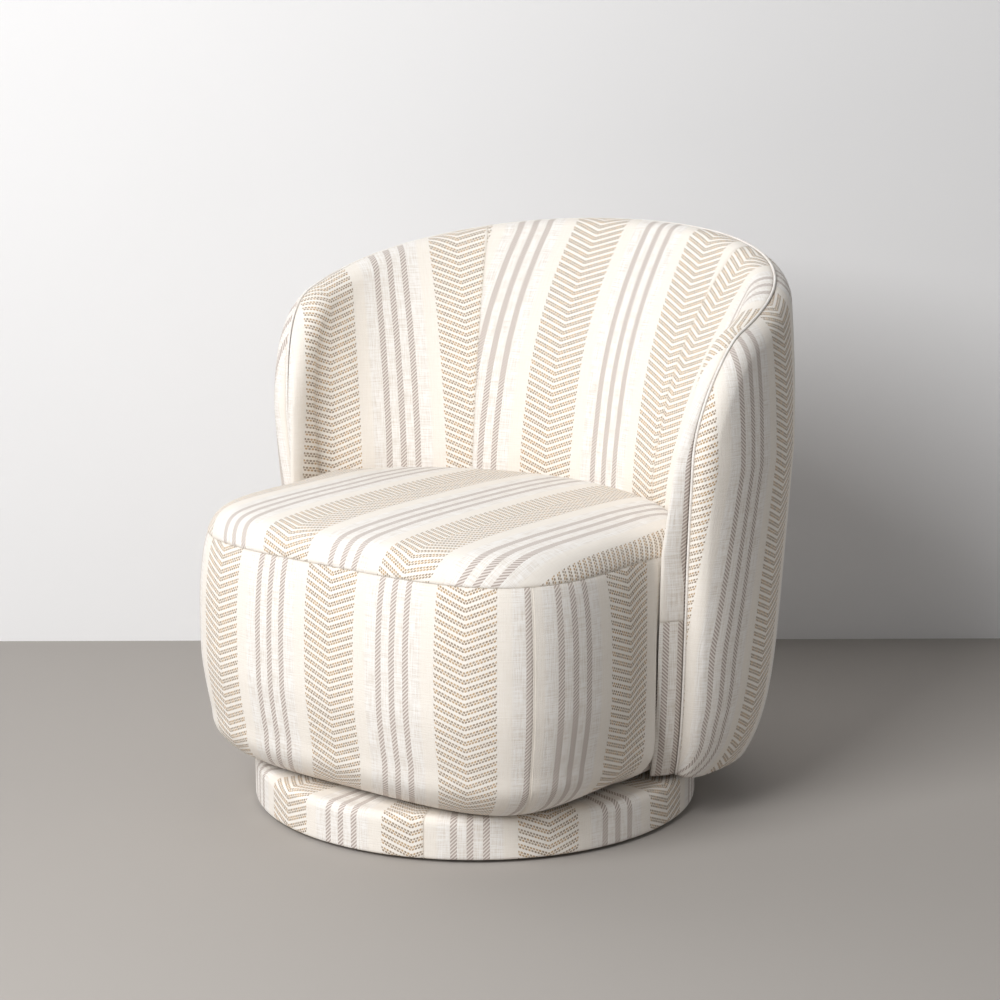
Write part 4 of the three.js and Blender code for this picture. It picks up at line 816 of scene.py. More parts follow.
def webbingMaterial(pitch=0.0024):
    s = Shader("jute_webbing", roughness=0.9)
    uv = s.node("ShaderNodeUVMap", dict(uv_map="cloth"))
    across, up, _ = s.parts(uv)
    threads = (across * (fullTurn / pitch)).sine() * (up * (fullTurn / pitch)).sine()
    slub = s.noise(s.vector(across * 60, up * 400), scale=1.0, detail=3.0)
    s.bump(threads * 0.5 + slub, distance=0.0006, strength=0.8)
    share = (threads * 0.3 + slub).maths("ADD", 0, clamp=True)
    return s.finish(s.mix(share, tint(146, 116, 74), tint(196, 166, 118)))


stripedCloth = clothMaterial()
plainCloth = clothMaterial("plain_cloth", plain=True)
wood = woodMaterial("beech_rail", tint(214, 178, 132), tint(170, 126, 84), stretch=(3.0, 0.5, 3.0), rings=16)
plywood = plywoodMaterial()
board = speckledMaterial(
    "fibre_board", tint(176, 140, 98), tint(118, 86, 56), scale=160, depth=0.0002, roughness=0.8)
steel = metalMaterial(
    "zinc_steel", tint(172, 174, 178), tint(120, 120, 122), roughness=0.28, metallic=1.0, peel=0.1)
blackSteel = metalMaterial(
    "black_steel", tint(38, 39, 42), tint(70, 68, 66), roughness=0.4, metallic=0.7, peel=0.9)
plastic = speckledMaterial(
    "black_plastic", tint(44, 44, 46), tint(24, 24, 26), scale=420, depth=0.0001, roughness=0.5)
felt = speckledMaterial(
    "dust_felt", tint(64, 62, 60), tint(34, 33, 32), scale=260, depth=0.0005, roughness=0.98, sheen=0.3)
foam = foamMaterial("cushion_foam", tint(240, 228, 190), tint(214, 198, 156))
wadding = speckledMaterial(
    "white_wadding", tint(246, 244, 240), tint(214, 210, 204), scale=90, depth=0.002, roughness=0.98,
    sheen=0.3)
webbing = webbingMaterial()
print("materials made")


# Covers of the back and arms
covers = dict(
    step=5.2, clothThickness=1.5, outerStripeAt=80, centreStripeAt=-48, sideStripeAt=-40.5,
    sideMiddle=366, stripLineAt=27, seamTuck=0.35, skirtShift=48, skirtHigh=260, skirtReach=190,
    footShift=46, footHigh=150, footReach=80, cornerLength=165, outerFirst=300, outerLength=400,
    innerLength=380, stripFrom=-70, stripStep=3.5, stripGap=0.4,
)
step = covers["step"]
degreeLength = math.radians(1) * roll


def rimStations(start=0.0, edges=()):
    top = spread(start, 1, step, edges, unit=cornerStart)
    top = top[top <= 1 - step / cornerStart / 2]
    return np.concatenate([top, spread(1, 2, step, unit=covers["cornerLength"])])


def bothSides(right):
    return np.concatenate([-right[::-1][: len(right) - (right[0] == 0)], right])


def rollDegrees(start, end):
    return spread(start, end, step, seamEdges, unit=degreeLength)


# A cover's own look and fixing: drawn in at its seams
def coverPiece(piece, body, solid, restsOn, turn=covers["seamTuck"], **puckers):
    tuckIn(piece, turn, **puckers)
    finish(piece, stripedCloth, body, [solid])
    clothPiece(piece, covers["clothThickness"])


# The hem that is folded in under the shell
def turnedUnder(columns, table):
    run, _, inRun, _ = outline(np.abs(columns))
    side = np.where(columns < 0, -1.0, 1.0)
    foot = run + inRun * roll
    depth = spread(shell["coverFold"], 0, step)[:, None]
    across, _ = table(foot, np.full_like(foot, shell["bottom"]))
    points = place(side * foot, shell["bottom"], depth)
    return dict(points=points, cloth=np.stack([side * across + 0 * depth, 0 * across - depth], -1))


def outerBackCover():
    table = clothTable(False, shell["bottom"])
    columns = bothSides(rimStations())
    heights = spread(shell["bottom"], covers["outerFirst"], step)
    shares = spread(0, 1, step, unit=covers["outerLength"])
    blocks = shellBlocks(columns, heights, shares, rollDegrees(90, outerEnd), False, table)
    blocks.append(turnedUnder(columns, table))
    # The stripes bend toward the arms' feet, where the cloth is drawn round
    for block in blocks:
        across, height = block["cloth"][..., 0], block["points"][..., 2]
        low = smooth((covers["skirtHigh"] - height) / covers["skirtReach"])
        front = smooth((np.abs(across) - edgeRun + shell["frontZone"]) / shell["frontZone"])
        foot = smooth((covers["footHigh"] - height) / covers["footReach"])
        shift = (covers["skirtShift"] * low + covers["footShift"] * foot) * front
        block["cloth"] = block["cloth"] + np.stack([np.sign(across) * shift, 0 * across], -1)
    blocks = [striped(block, covers["outerStripeAt"]) for block in blocks]
    piece = clothMesh("outer_back_fabric", blocks, awayFromMiddle)
    coverPiece(piece, "seat_unit", "outer_back_cover", "outer_back_padding_pad")


# Centre, right and left panels; returns the lines of the two upright seams
def innerBackPanels():
    lines = []
    low = shell["innerBottom"]
    seam = shell["seamTop"] / cornerStart
    slip = shell["seamSlip"] / cornerStart
    heights = spread(low, shell["seatLevel"], step)
    shares = spread(0, 1, step, unit=covers["innerLength"])
    degrees = rollDegrees(-90, innerEnd)
    columns = bothSides(spread(0, seam - slip, step, seamEdges, unit=cornerStart))
    near = [e / cornerStart for e in seamEdges]
    columns = columns[[all(abs(abs(c) - n) > tiny for n in near) for c in columns]]
    blocks = shellBlocks(columns, heights, shares, degrees, True, clothTable(True, low))
    blocks = [striped(block, covers["centreStripeAt"]) for block in blocks[:2]]
    centre = clothMesh("inner_back_centre_fabric", blocks, towardMiddle)
    coverPiece(centre, "seat_unit", "inner_back_centre_cover", "inner_back_foam_pad")
    table = clothTable(True, low, covers["sideMiddle"])
    feet = spread(shell["stripTop"], low - step, step, seamEdges[:3])
    for side, word in ((1, "right"), (-1, "left")):
        right = rimStations(seam + slip, seamEdges)
        columns = right if side > 0 else -right[::-1]
        blocks = shellBlocks(columns, heights, shares, degrees, True, table, feet)
        blocks = [striped(block, side * covers["sideStripeAt"]) for block in blocks]
        first = 0 if side > 0 else -1
        lines.append(np.concatenate([blocks[0]["points"][:, first], blocks[1]["points"][1:, first]]))
        piece = clothMesh(f"inner_back_{word}_fabric", blocks, towardMiddle)
        coverPiece(piece, "seat_unit", f"inner_back_{word}_cover", "inner_back_foam_pad")
    return lines


# The short strips at the arms' feet; returns the lines of their level seams
def armStrips():
    lines = []
    z = spread(shell["bottom"], shell["stripTop"] - covers["stripGap"], step, seamEdges)[:, None]
    degrees = spread(covers["stripFrom"], innerEnd, covers["stripStep"], seamEdges, unit=degreeLength)
    for side, word in ((1, "right"), (-1, "left")):
        points = rimPoint(verticalShare(z), side, degrees, 0)
        points = points + armFullness(2, side, points[..., 2], rollShare(degrees))
        inward = arcs(points[:, ::-1], 1)[:, ::-1]
        across = side * (inward - covers["stripLineAt"] - stripes["lineAt"]) + 0 * z
        lines.append(points[-1])
        block = dict(points=points, cloth=np.stack([across, z + 0 * across], -1))
        piece = clothMesh(f"arm_strip_{word}_fabric", [block], lambda p: Vector((0, -1, 0)))
        coverPiece(piece, "seat_unit", f"arm_front_strip_{word}", "inner_back_foam_pad", pucker=0.2)
    return lines


welt = dict(step=4, sides=15, uneven=0.05, shortWave=3.1, longWave=17, clothAt=64)


# The raised seam along the rim: a fold of cloth round a cord, slightly uneven where it was pulled
def rimWelt():
    down = verticalShare(spread(shell["bottom"], cornerHeight, welt["step"]))[:-1]
    right = np.concatenate([rimStations(), down[::-1]])
    t = bothSides(right)
    side = np.where(t < 0, -1.0, 1.0)
    t = np.abs(t)
    centre = rimPoint(t, side, shell["weltDegrees"], shell["weltSink"])
    across = rimPoint(t, side, shell["weltDegrees"], 0) - centre
    across /= np.linalg.norm(across, axis=-1)[:, None]
    along = np.gradient(centre, axis=0)
    along /= np.linalg.norm(along, axis=-1)[:, None]
    third = np.cross(along, across)
    length = arcs(centre, 0)
    turn = np.linspace(0, fullTurn, welt["sides"])[:, None]
    pulled = 1 + welt["uneven"] * np.sin(length / welt["shortWave"]) * np.sin(length / welt["longWave"])
    radius = (shell["weltRadius"] * pulled)[:, None]
    points = centre + (np.cos(turn)[..., None] * across + np.sin(turn)[..., None] * third) * radius
    u = turn * shell["weltRadius"] + welt["clothAt"] + 0 * length
    block = dict(points=points, cloth=np.stack([u, length + 0 * turn], -1))
    piece = clothMesh("rim_welt", [block], awayFromMiddle)
    closeEnds(piece)
    finish(piece, plainCloth, "seat_unit", ["rim_seam"])


def closeEnds(piece):
    work = bmesh.new()
    work.from_mesh(piece.data)
    bmesh.ops.holes_fill(work, edges=work.edges, sides=0)
    bmesh.ops.recalc_face_normals(work, faces=work.faces)
    work.to_mesh(piece.data)
    work.free()


# Pads under the covers
pads = dict(
    step=11, innerDepth=3.4, innerThick=12.1, outerDepth=2.8, outerThick=3.8, innerRoll=10.6,
    outerRoll=32.6, footLow=99.6, bandDepth=2.8, bandThick=4.8, rollDepth=8.3, rollThick=9.9,
    seatInset=11, seatDepth=3.4, insulatorInset=16.5, railEndY=-222, outerFoot=99.6,
    rollRadius=280, everyColumn=4, everyRow=2, middleShare=0.96, sideRows=4, feltRows=14,
)


def padPiece(piece, thickness, material, nodes):
    if thickness:
        thicken(piece, thickness)
    finish(piece, material, "seat_unit", nodes)


def backPads():
    wide = pads["step"]
    corner = spread(1, 2, wide, unit=covers["cornerLength"])[1:]
    columns = bothSides(np.concatenate([spread(0, 1, wide, unit=cornerStart), corner]))
    low = shell["innerBottom"]
    heights = spread(low, shell["seatLevel"], wide)
    shares = spread(0, 1, wide, unit=covers["innerLength"])
    degrees = spread(-90, pads["innerRoll"], wide / 2, unit=degreeLength)
    feet = spread(pads["footLow"], low - wide, wide)
    table = clothTable(True, low)
    blocks = shellBlocks(columns, heights, shares, degrees, True, table, feet, pads["innerDepth"])
    piece = clothMesh("inner_back_foam_pad", blocks, towardMiddle)
    padPiece(piece, pads["innerThick"], foam, ["inner_back_foam"])
    heights = spread(pads["outerFoot"], covers["outerFirst"], wide)
    shares = spread(0, 1, wide, unit=covers["outerLength"])
    degrees = spread(90, pads["outerRoll"], wide / 2, unit=degreeLength)
    table = clothTable(False, shell["bottom"])
    blocks = shellBlocks(columns, heights, shares, degrees, False, table, (), pads["outerDepth"])
    piece = clothMesh("outer_back_padding_pad", blocks, awayFromMiddle)
    padPiece(piece, pads["outerThick"], wadding, ["outer_back_padding"])


# Jute straps behind the back's foam, level ones woven with two upright ones
straps = dict(depth=19.2, width=50, thick=1.3, gap=0.1, step=9, columns=7, levels=(425, 529, 633),
              reaches=(1.0, 1.0, 0.58), uprights=(0.15, 0.3), low=400, high=658)


# Where a strap lies: the run of the wall and its thickness
def strapPoints(t, z):
    run, rimZ, inRun, inZ = outline(t)
    drop = joinDrop(run)
    topRun, topZ = run + inRun * drop, rimZ + inZ * drop
    low = shell["innerBottom"]
    wallRun = lerp(bottomRun(topRun), topRun, (z - low) / (topZ - low))
    return wallRun, wallAt(wallRun, z)


def backStraps():
    blocks = []
    half = straps["width"] / 2
    for level, reach in zip(straps["levels"], straps["reaches"]):
        columns = bothSides(spread(0, reach, straps["step"], unit=cornerStart))
        side = np.where(columns < 0, -1.0, 1.0)
        z = spread(level - half, level + half, straps["step"])[:, None]
        run, wall = strapPoints(np.abs(columns), z)
        points = place(side * run, z, wall - straps["depth"])
        blocks.append(dict(points=points, cloth=np.stack([side * run, z + 0 * run], -1)))
    near, far = straps["uprights"]
    width = straps["width"] / cornerStart
    for side in (-1, 1):
        t = (near + far) / 2 + np.linspace(-width / 2, width / 2, straps["columns"])
        z = spread(straps["low"], straps["high"], straps["step"])[:, None]
        run, wall = strapPoints(t, z)
        points = place(side * run, z, wall - straps["depth"] - straps["thick"] - straps["gap"])
        blocks.append(dict(points=points, cloth=np.stack([side * run, z + 0 * run], -1)))
    piece = clothMesh("back_straps", blocks, towardMiddle)
    finish(piece, webbing, "seat_unit", ["back_webbing"])
    clothPiece(piece, straps["thick"])


# Front band: one long cover with an upright seam near each arm, tucked in beside the arm fronts
band = dict(
    step=4.4, tuckStart=-30, tuckEnd=-90, seamAt=300.2, stripeAt=11, sideStripeAt=468.8,
    sideScale=1.0718, arcHeight=220, angles=900, tuckIn=7, turnBack=9, skew=0.85, skewPower=0.5,
    seamTuck=1.1, turnShares=(0.2, 0.45, 0.75, 1.0), besideShares=(0.25, 0.5, 0.75),
    stitchColumns=(0, 2),
)
mirrored = np.array([-1, 1, 1])


# Angles of the band's columns from the middle to the arm; without its seams, every second one
def bandColumns(seams=True):
    endAngle = float(angleAtY(seat["bandEndY"]))
    fine = np.linspace(0, endAngle, band["angles"])
    length = arcs(bandPoint(fine, band["arcHeight"], 0), 0)
    seamAngle = float(np.interp(band["seamAt"], length, fine))
    middle = np.interp(spread(0, band["seamAt"], band["step"], seamEdges[1:]), length, fine)[:-1]
    outer = np.interp(spread(band["seamAt"], length[-1], band["step"], seamEdges[1:]), length, fine)
    near = np.interp(seamEdges[1:], length, fine)
    middle = middle[[all(abs(m - n) > tiny for n in near) for m in middle]]
    if not seams:
        return np.concatenate([middle[::2], outer[::2]]), seamAngle
    return np.concatenate([middle, [seamAngle], outer[1:]]), seamAngle


# From the band's end: straight back, across to the arm front and round it, then along the arm
def bandSideColumns(z, depth):
    z = np.asarray(z, float)[:, None]
    degrees = spread(band["tuckStart"], band["tuckEnd"], band["step"], unit=degreeLength)
    tucked = tuckPoint(1, degrees, 0.0, z, depth + band["tuckIn"])
    endShares = spread(0, 1, band["step"], unit=seat["tuckBack"])[1:]
    ends = tuckPoint(1, band["tuckEnd"], endShares, z, depth + band["tuckIn"])
    last = bandPoint(float(angleAtY(seat["bandEndY"])), z, depth)
    turned = tucked[:, :1] * [1, 0, 1] + last * [0, 1, 0] + [0, band["turnBack"], 0]
    between = [lerp(last, turned, share) for share in band["turnShares"]]
    between += [lerp(turned, tucked[:, :1], share) for share in band["besideShares"]]
    return np.concatenate([*between, tucked, ends], 1)


def mirroredPoints(points):
    return points[:, ::-1] * mirrored


def bandRight(z, depth, angles):
    front = bandPoint(angles, np.asarray(z, float)[:, None], depth)
    return np.concatenate([front, bandSideColumns(z, depth)], 1)


# Returns the lines of the two upright seams and of the stitches beside them
def frontBandCover():
    angles, seamAngle = bandColumns()
    seam = int(np.argmin(np.abs(angles - seamAngle)))
    heights = spread(shell["bottom"], seat["seam"], band["step"], seamEdges[:2])
    right = bandRight(heights, 0, angles)
    folds = spread(shell["coverFold"], 0, band["step"])[:-1]
    fold = np.concatenate([bandRight([shell["bottom"]], depth, angles) for depth in folds])
    right = np.concatenate([fold, right])
    up = np.concatenate([-folds, arcs(right[len(folds):, 0], 0)])
    across = arcs(bandRight([band["arcHeight"]], 0, angles), 1) + 0 * up[:, None]
    cloth = np.stack([across, up[:, None] + 0 * across], -1)
    middle, middleCloth = right[:, : seam + 1], cloth[:, : seam + 1]
    points = np.concatenate([mirroredPoints(middle)[:, :-1], middle], 1)
    centreCloth = np.concatenate([middleCloth[:, ::-1][:, :-1] * [-1, 1], middleCloth], 1)
    under = np.maximum(-bandOut(np.maximum(points[..., 2], shell["bottom"])), 0)
    facing = smooth(1 - np.abs(points[..., 0]) / seat["halfWidth"]) ** band["skewPower"]
    centreCloth = centreCloth + np.stack([band["skew"] * under * facing, 0 * under], -1)
    blocks = [striped(dict(points=points, cloth=centreCloth), band["stripeAt"])]
    sidePoints, sideCloth = right[:, seam:], cloth[:, seam:]
    block = dict(points=sidePoints, cloth=sideCloth)
    blocks.append(striped(block, band["sideStripeAt"], band["sideScale"]))
    block = dict(points=mirroredPoints(sidePoints), cloth=sideCloth[:, ::-1] * [-1, 1])
    blocks.append(striped(block, -band["sideStripeAt"], band["sideScale"]))
    piece = clothMesh("front_band_fabric", blocks, fromAxis)
    line = right[len(folds):, seam]
    coverPiece(piece, "seat_unit", "front_band_cover", "front_band_padding_pad", band["seamTuck"],
               seams=[line, line * mirrored])
    stitches = [right[len(folds):, seam + i] for i in band["stitchColumns"]]
    return [line * side for line in stitches for side in (1, mirrored)]


# The band's curve between the bottom and the top of a box
def bandMesh(name, box, angles, depth):
    low, high = box
    z = spread(low[2] / mm, high[2] / mm, pads["step"])[:, None]
    points = bandPoint(angles, z, depth)
    return clothMesh(name, [dict(points=points, cloth=points[..., [0, 2]])], fromAxis)


def bandPads():
    angles, _ = bandColumns(seams=False)
    both = np.concatenate([-angles[::-1][:-1], angles])
    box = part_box("front_band_padding")
    piece = bandMesh("front_band_padding_pad", box, both, pads["bandDepth"])
    padPiece(piece, pads["bandThick"], foam, ["front_band_padding"])
    reach = float(angleAtY(pads["railEndY"]))
    angles = spread(-reach, reach, pads["step"], unit=pads["rollRadius"])
    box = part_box("front_edge_roll")
    piece = bandMesh("front_edge_roll_pad", box, angles, pads["rollDepth"])
    padPiece(piece, pads["rollThick"], wadding, ["front_edge_roll"])


# Seat cushion, its pad and the felt under it
cushion = dict(
    angles=380, pinch=5, pinchAt=15, pinchReach=24, pinchSide=0.7, stripeAt=127, seamTuck=1.2,
    pucker=0.45, pitch=14, domeFrom=0.145, domeRows=42,
    seamRows=(0, 0.002, 0.005, 0.009, 0.014, 0.02, 0.027, 0.035, 0.045, 0.057, 0.071, 0.087, 0.105,
              0.125),
)


def seatRing(direction, radius, z):
    return np.stack([direction[:, 0] * radius, seat["centreY"] + direction[:, 1] * radius,
                     np.full_like(radius, z)], -1)


# Returns the line of the seam round the seat
def seatCushion():
    angles = np.linspace(0, fullTurn, cushion["angles"] + 1)
    direction, edge = seatEdges(angles)
    direction[-1], edge[-1] = direction[0], edge[0]
    beside = (direction[:, 1] * edge + seat["centreY"] - cushion["pinchAt"]) / cushion["pinchReach"]
    sideways = np.abs(direction[:, 0]) > cushion["pinchSide"]
    edge = edge - cushion["pinch"] * np.exp(-(beside**2)) * sideways
    dome = np.linspace(cushion["domeFrom"], 1, cushion["domeRows"])
    shares = 1 - np.concatenate([cushion["seamRows"], dome])
    points = seatPoint(direction, edge, shares[:, None], 0)
    points[-1] = points[-1].mean(0)
    length = arcs(points[::-1], 0)[::-1]
    block = striped(dict(points=points, cloth=direction * length[..., None]), cushion["stripeAt"])
    piece = clothMesh("seat_cushion_fabric", [block], upward)
    coverPiece(piece, "seat_unit", "seat_cushion_cover", "seat_foam_pad", cushion["seamTuck"],
               pucker=cushion["pucker"], pitch=cushion["pitch"])
    coarse = slice(None, None, pads["everyColumn"])
    seatPads(direction[coarse], edge[coarse], shares)
    return points[0][coarse]


# The seat's foam, closed below, and the felt between it and the springs
def seatPads(direction, edge, shares):
    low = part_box("seat_foam")[0][2] / mm
    depth = pads["seatDepth"]
    inner = edge - pads["seatInset"]
    rows = [seatRing(direction, inner * share, low) for share in (0, 0.5, 1)]
    heights = np.linspace(low, seat["seam"] - depth, pads["sideRows"])[1:]
    rows += [seatRing(direction, inner, z) for z in heights]
    shares = shares[shares < pads["middleShare"]][:: pads["everyRow"]]
    rows += [seatPoint(direction, edge, share, depth) for share in shares]
    rows[-1] = rows[-1] * 0 + rows[-1].mean(0)
    rows = np.stack(rows)
    piece = clothMesh("seat_foam_pad", [dict(points=rows, cloth=rows[..., :2])], upward)
    closeEnds(piece)
    padPiece(piece, 0, foam, ["seat_foam"])
    low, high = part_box("insulator_pad")
    inner = edge - pads["insulatorInset"]
    shares = np.linspace(1, 0, pads["feltRows"])
    rows = np.stack([seatRing(direction, inner * share, high[2] / mm) for share in shares])
    piece = clothMesh("insulator_felt", [dict(points=rows, cloth=rows[..., :2])], upward)
    finish(piece, felt, "seat_unit", ["insulator_pad"])
    clothPiece(piece, (high[2] - low[2]) / mm)


# Plinth
plinth = dict(
    radius=300, top=60, edgeRound=12, lift=4.2, hem=268, footRound=4, foldRadius=205, seamAt=25.5,
    step=4.0, leftStripeAt=-85, rightStripeAt=294.5, footSteps=5, edgeSteps=7, seamTuck=0.8,
    pucker=0.3, padGap=1.9, hoopOuter=291.6, hoopGap=0.3, topReach=247, topPad=2.6, padRound=1.5,
    padSteps=5, padColumns=97,
)


def edgeArc(radius, top, bend, count):
    return [(radius - bend * (1 - math.cos(a)), top - bend * (1 - math.sin(a)))
            for a in np.linspace(0, math.pi / 2, count)]


def ringPoints(profile, azimuths):
    profile = np.asarray(profile, float)[:, None]
    return np.stack([profile[..., 0] * np.sin(azimuths), -profile[..., 0] * np.cos(azimuths),
                     profile[..., 1] + 0 * azimuths], -1)


# Returns the lines of the two upright seams
def plinthCover():
    r, top, lift = plinth["radius"], plinth["top"], plinth["lift"]
    bend, edgeRound = plinth["footRound"], plinth["edgeRound"]
    profile = [(x, lift) for x in spread(plinth["hem"], r - bend, plinth["step"])]
    profile += [(r - bend * (1 - math.sin(a)), lift + bend * (1 - math.cos(a)))
                for a in np.linspace(0, math.pi / 2, plinth["footSteps"])[1:]]
    profile += [(r, z) for z in spread(lift + bend, top - edgeRound, plinth["step"])[1:-1]]
    profile += edgeArc(r, top, edgeRound, plinth["edgeSteps"])
    profile += [(x, top) for x in spread(r - edgeRound, plinth["foldRadius"], plinth["step"])[1:]]
    up = arcs(np.array([(x, 0, z) for x, z in profile]), 0)
    blocks, seams = [], []
    for start, stripeAt in ((plinth["seamAt"] - 180, plinth["leftStripeAt"]),
                            (plinth["seamAt"], plinth["rightStripeAt"])):
        first, last = math.radians(start), math.radians(start + 180)
        azimuths = spread(first, last, plinth["step"], seamEdges, unit=r)
        points = ringPoints(profile, azimuths)
        cloth = np.stack([azimuths * r + 0 * up[:, None], up[:, None] + 0 * azimuths], -1)
        blocks.append(striped(dict(points=points, cloth=cloth), stripeAt))
        seams.append(points[:, 0])
    piece = clothMesh("plinth_fabric", blocks, fromAxis)
    coverPiece(piece, "base", "plinth_cover", "plinth_padding_pad", plinth["seamTuck"],
               pucker=plinth["pucker"], seams=seams)
    return seams


def plinthPads():
    outer, top = plinth["radius"] - plinth["padGap"], plinth["top"] - plinth["padGap"]
    inner, under = plinth["hoopOuter"] + plinth["hoopGap"], top - plinth["topPad"]
    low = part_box("plinth_padding")[0][2] / mm
    profile = [(inner, low), (outer, low)]
    profile += edgeArc(outer, top, plinth["edgeRound"] - plinth["padRound"], plinth["padSteps"])
    profile += [(plinth["topReach"], top), (plinth["topReach"], under), (inner, under)]
    points = ringPoints(profile + profile[:1], np.linspace(0, fullTurn, plinth["padColumns"]))
    piece = clothMesh("plinth_padding_pad", [dict(points=points, cloth=points[..., :2])], upward)
    finish(piece, wadding, "base", ["plinth_padding"])


# A flat sheet of felt between closed outlines, facing down
def flatSheet(name, outlines, z, thickness, body, node):
    work = bmesh.new()
    edges = []
    for line in outlines:
        made = [work.verts.new((x * mm, (y + axisY) * mm, z * mm)) for x, y in line]
        edges += [work.edges.new((a, b)) for a, b in zip(made, made[1:] + made[:1])]
    bmesh.ops.triangle_fill(work, use_beauty=True, edges=edges)
    uv = work.loops.layers.uv.new("cloth")
    for f in work.faces:
        if f.normal.z > 0:
            f.normal_flip()
        for loop in f.loops:
            loop[uv].uv = (loop.vert.co.x, loop.vert.co.y)
    mesh = bpy.data.meshes.new(name)
    work.to_mesh(mesh)
    work.free()
    piece = bpy.data.objects.new(name, mesh)
    bpy.context.scene.collection.objects.link(piece)
    outer = np.array(outlines[0]) * mm
    cuts[name] = (outer.max(0) - outer.min(0)).tolist()
    finish(piece, felt, body, [node])
    clothPiece(piece, thickness)


def circleLine(x, y, radius, count):
    return [(x + radius * math.cos(a), y + radius * math.sin(a))
            for a in np.linspace(0, fullTurn, count, endpoint=False)]


# The dust covers: the plinth's has holes for the glides, the seat unit's follows its outline. Each
# point of an arm's end is a distance back from the arm's front edge and one in from its outer face.
dust = dict(
    radius=267.7, sides=144, lift=4.8, thickness=0.6, glideCircle=262, glideHole=2.9, glideSides=12,
    inset=12, armPath=((44.5, 12), (20, 12), (20, 36), (170, 36), (170, 84)), shellFrom=170,
    shellStations=90, openHalf=141, stapleShare=0.975,
)


# Returns the line that the seat unit's staples follow
def dustCovers():
    circle = dust["glideCircle"]
    spots = [(circle * math.cos(a), circle * math.sin(a))
             for a in math.pi / 4 + np.arange(4) * math.pi / 2]
    outlines = [circleLine(0, 0, dust["radius"], dust["sides"])]
    outlines += [circleLine(x, y, dust["glideHole"], dust["glideSides"]) for x, y in spots]
    flatSheet("plinth_dust_felt", outlines, dust["lift"], dust["thickness"], "base",
              "plinth_dust_cover")
    low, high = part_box("seat_dust_cover")
    z = low[2] / mm
    ends = [[place(side * (edgeRun - back), z, depth)[:2] for back, depth in dust["armPath"]]
            for side in (-1, 1)]
    reach = edgeRun - dust["shellFrom"]
    shellPart = place(np.linspace(-reach, reach, dust["shellStations"]), z, dust["inset"])[:, :2]
    angles, _ = bandColumns(seams=False)
    right = bandRight([z], dust["inset"], angles)[0][:, :2]
    front = np.concatenate([right[::-1], (right * mirrored[:2])[1:]])
    line = [tuple(p) for p in [*ends[0][::-1], *shellPart, *ends[1], *front]]
    half = dust["openHalf"]
    opening = [(half, half), (-half, half), (-half, -half), (half, -half)]
    flatSheet("seat_dust_felt", [line, opening], z, (high[2] - low[2]) / mm, "seat_unit",
              "seat_dust_cover")
    middle = np.array([0, line[0][1]])
    inward = [middle + (np.array(p) - middle) * dust["stapleShare"] for p in line + line[:1]]
    return np.array([[*p, z] for p in inward])


backPads()
backStraps()
outerBackCover()
innerSeams = innerBackPanels()
stripSeams = armStrips()
rimWelt()
print("back and arms made")
bandSeams = frontBandCover()
bandPads()
cushionLine = seatCushion()
print("seat made")
plinthSeams = plinthCover()
plinthPads()
dustLine = dustCovers()
print("plinth made")


# Threads, staples and screws repeat, so Geometry Nodes sets them out along lines and at points
class Tree:
    def __init__(self, name, inputs):
        self.group = bpy.data.node_groups.new(name, "GeometryNodeTree")
        self.group.interface.new_socket("Geometry", in_out="INPUT", socket_type="NodeSocketGeometry")
        self.names = {}
        for label, value in inputs.items():
            kind = "NodeSocketMaterial" if value is None else "NodeSocketFloat"
            kind = "NodeSocketInt" if isinstance(value, int) else kind
            socket = self.group.interface.new_socket(label, in_out="INPUT", socket_type=kind)
            if value is not None:
                socket.default_value = value
            self.names[label] = socket.identifier
        self.group.interface.new_socket("Geometry", in_out="OUTPUT", socket_type="NodeSocketGeometry")
        self.given = self.group.nodes.new("NodeGroupInput").outputs

    def node(self, kind, settings=None, sockets=None, out=0):
        made = self.group.nodes.new(kind)
        for key, value in (settings or {}).items():
            setattr(made, key, value)
        for key, value in (sockets or {}).items():
            if isinstance(value, bpy.types.NodeSocket):
                self.group.links.new(value, made.inputs[key])
            else:
                made.inputs[key].default_value = value
        return made.outputs[out]

    # Ends in real geometry with the material on it
    def close(self, instances):
        real = self.node("GeometryNodeRealizeInstances", None, {0: instances})
        painted = self.node("GeometryNodeSetMaterial", None,
                            {"Geometry": real, "Material": self.given["material"]})
        self.group.links.new(painted, self.group.nodes.new("NodeGroupOutput").inputs[0])
        return self


# Short rods along lines, each turned a little by chance; its own values are those of the stitches
def lineTree():
    tree = Tree("pieces_along_lines",
                dict(pitch=0.0032, length=0.0022, radius=0.0003, tilt=0.12, seed=7, material=None))
    given = tree.given
    curve = tree.node("GeometryNodeMeshToCurve", None, {"Mesh": given["Geometry"]})
    spaced = tree.node("GeometryNodeResampleCurve", dict(mode="LENGTH"),
                       {"Curve": curve, "Length": given["pitch"]})
    rod = tree.node("GeometryNodeMeshCylinder", None,
                    {"Vertices": 8, "Radius": given["radius"], "Depth": given["length"]})
    tangent = tree.node("GeometryNodeInputTangent")
    turned = tree.node("FunctionNodeAlignRotationToVector", dict(axis="Z"), {"Vector": tangent})
    placed = tree.node("GeometryNodeInstanceOnPoints", None,
                       {"Points": spaced, "Instance": rod, "Rotation": turned})
    less = tree.node("ShaderNodeMath", dict(operation="MULTIPLY"), {0: given["tilt"], 1: -1.0})
    tilt = tree.node("FunctionNodeRandomValue", dict(data_type="FLOAT"),
                     {"Min": less, "Max": given["tilt"], "Seed": given["seed"]}, out=1)
    angles = tree.node("ShaderNodeCombineXYZ", None, {0: tilt, 1: tilt})
    rotated = tree.node("GeometryNodeRotateInstances", None, {"Instances": placed, "Rotation": angles})
    return tree.close(rotated)


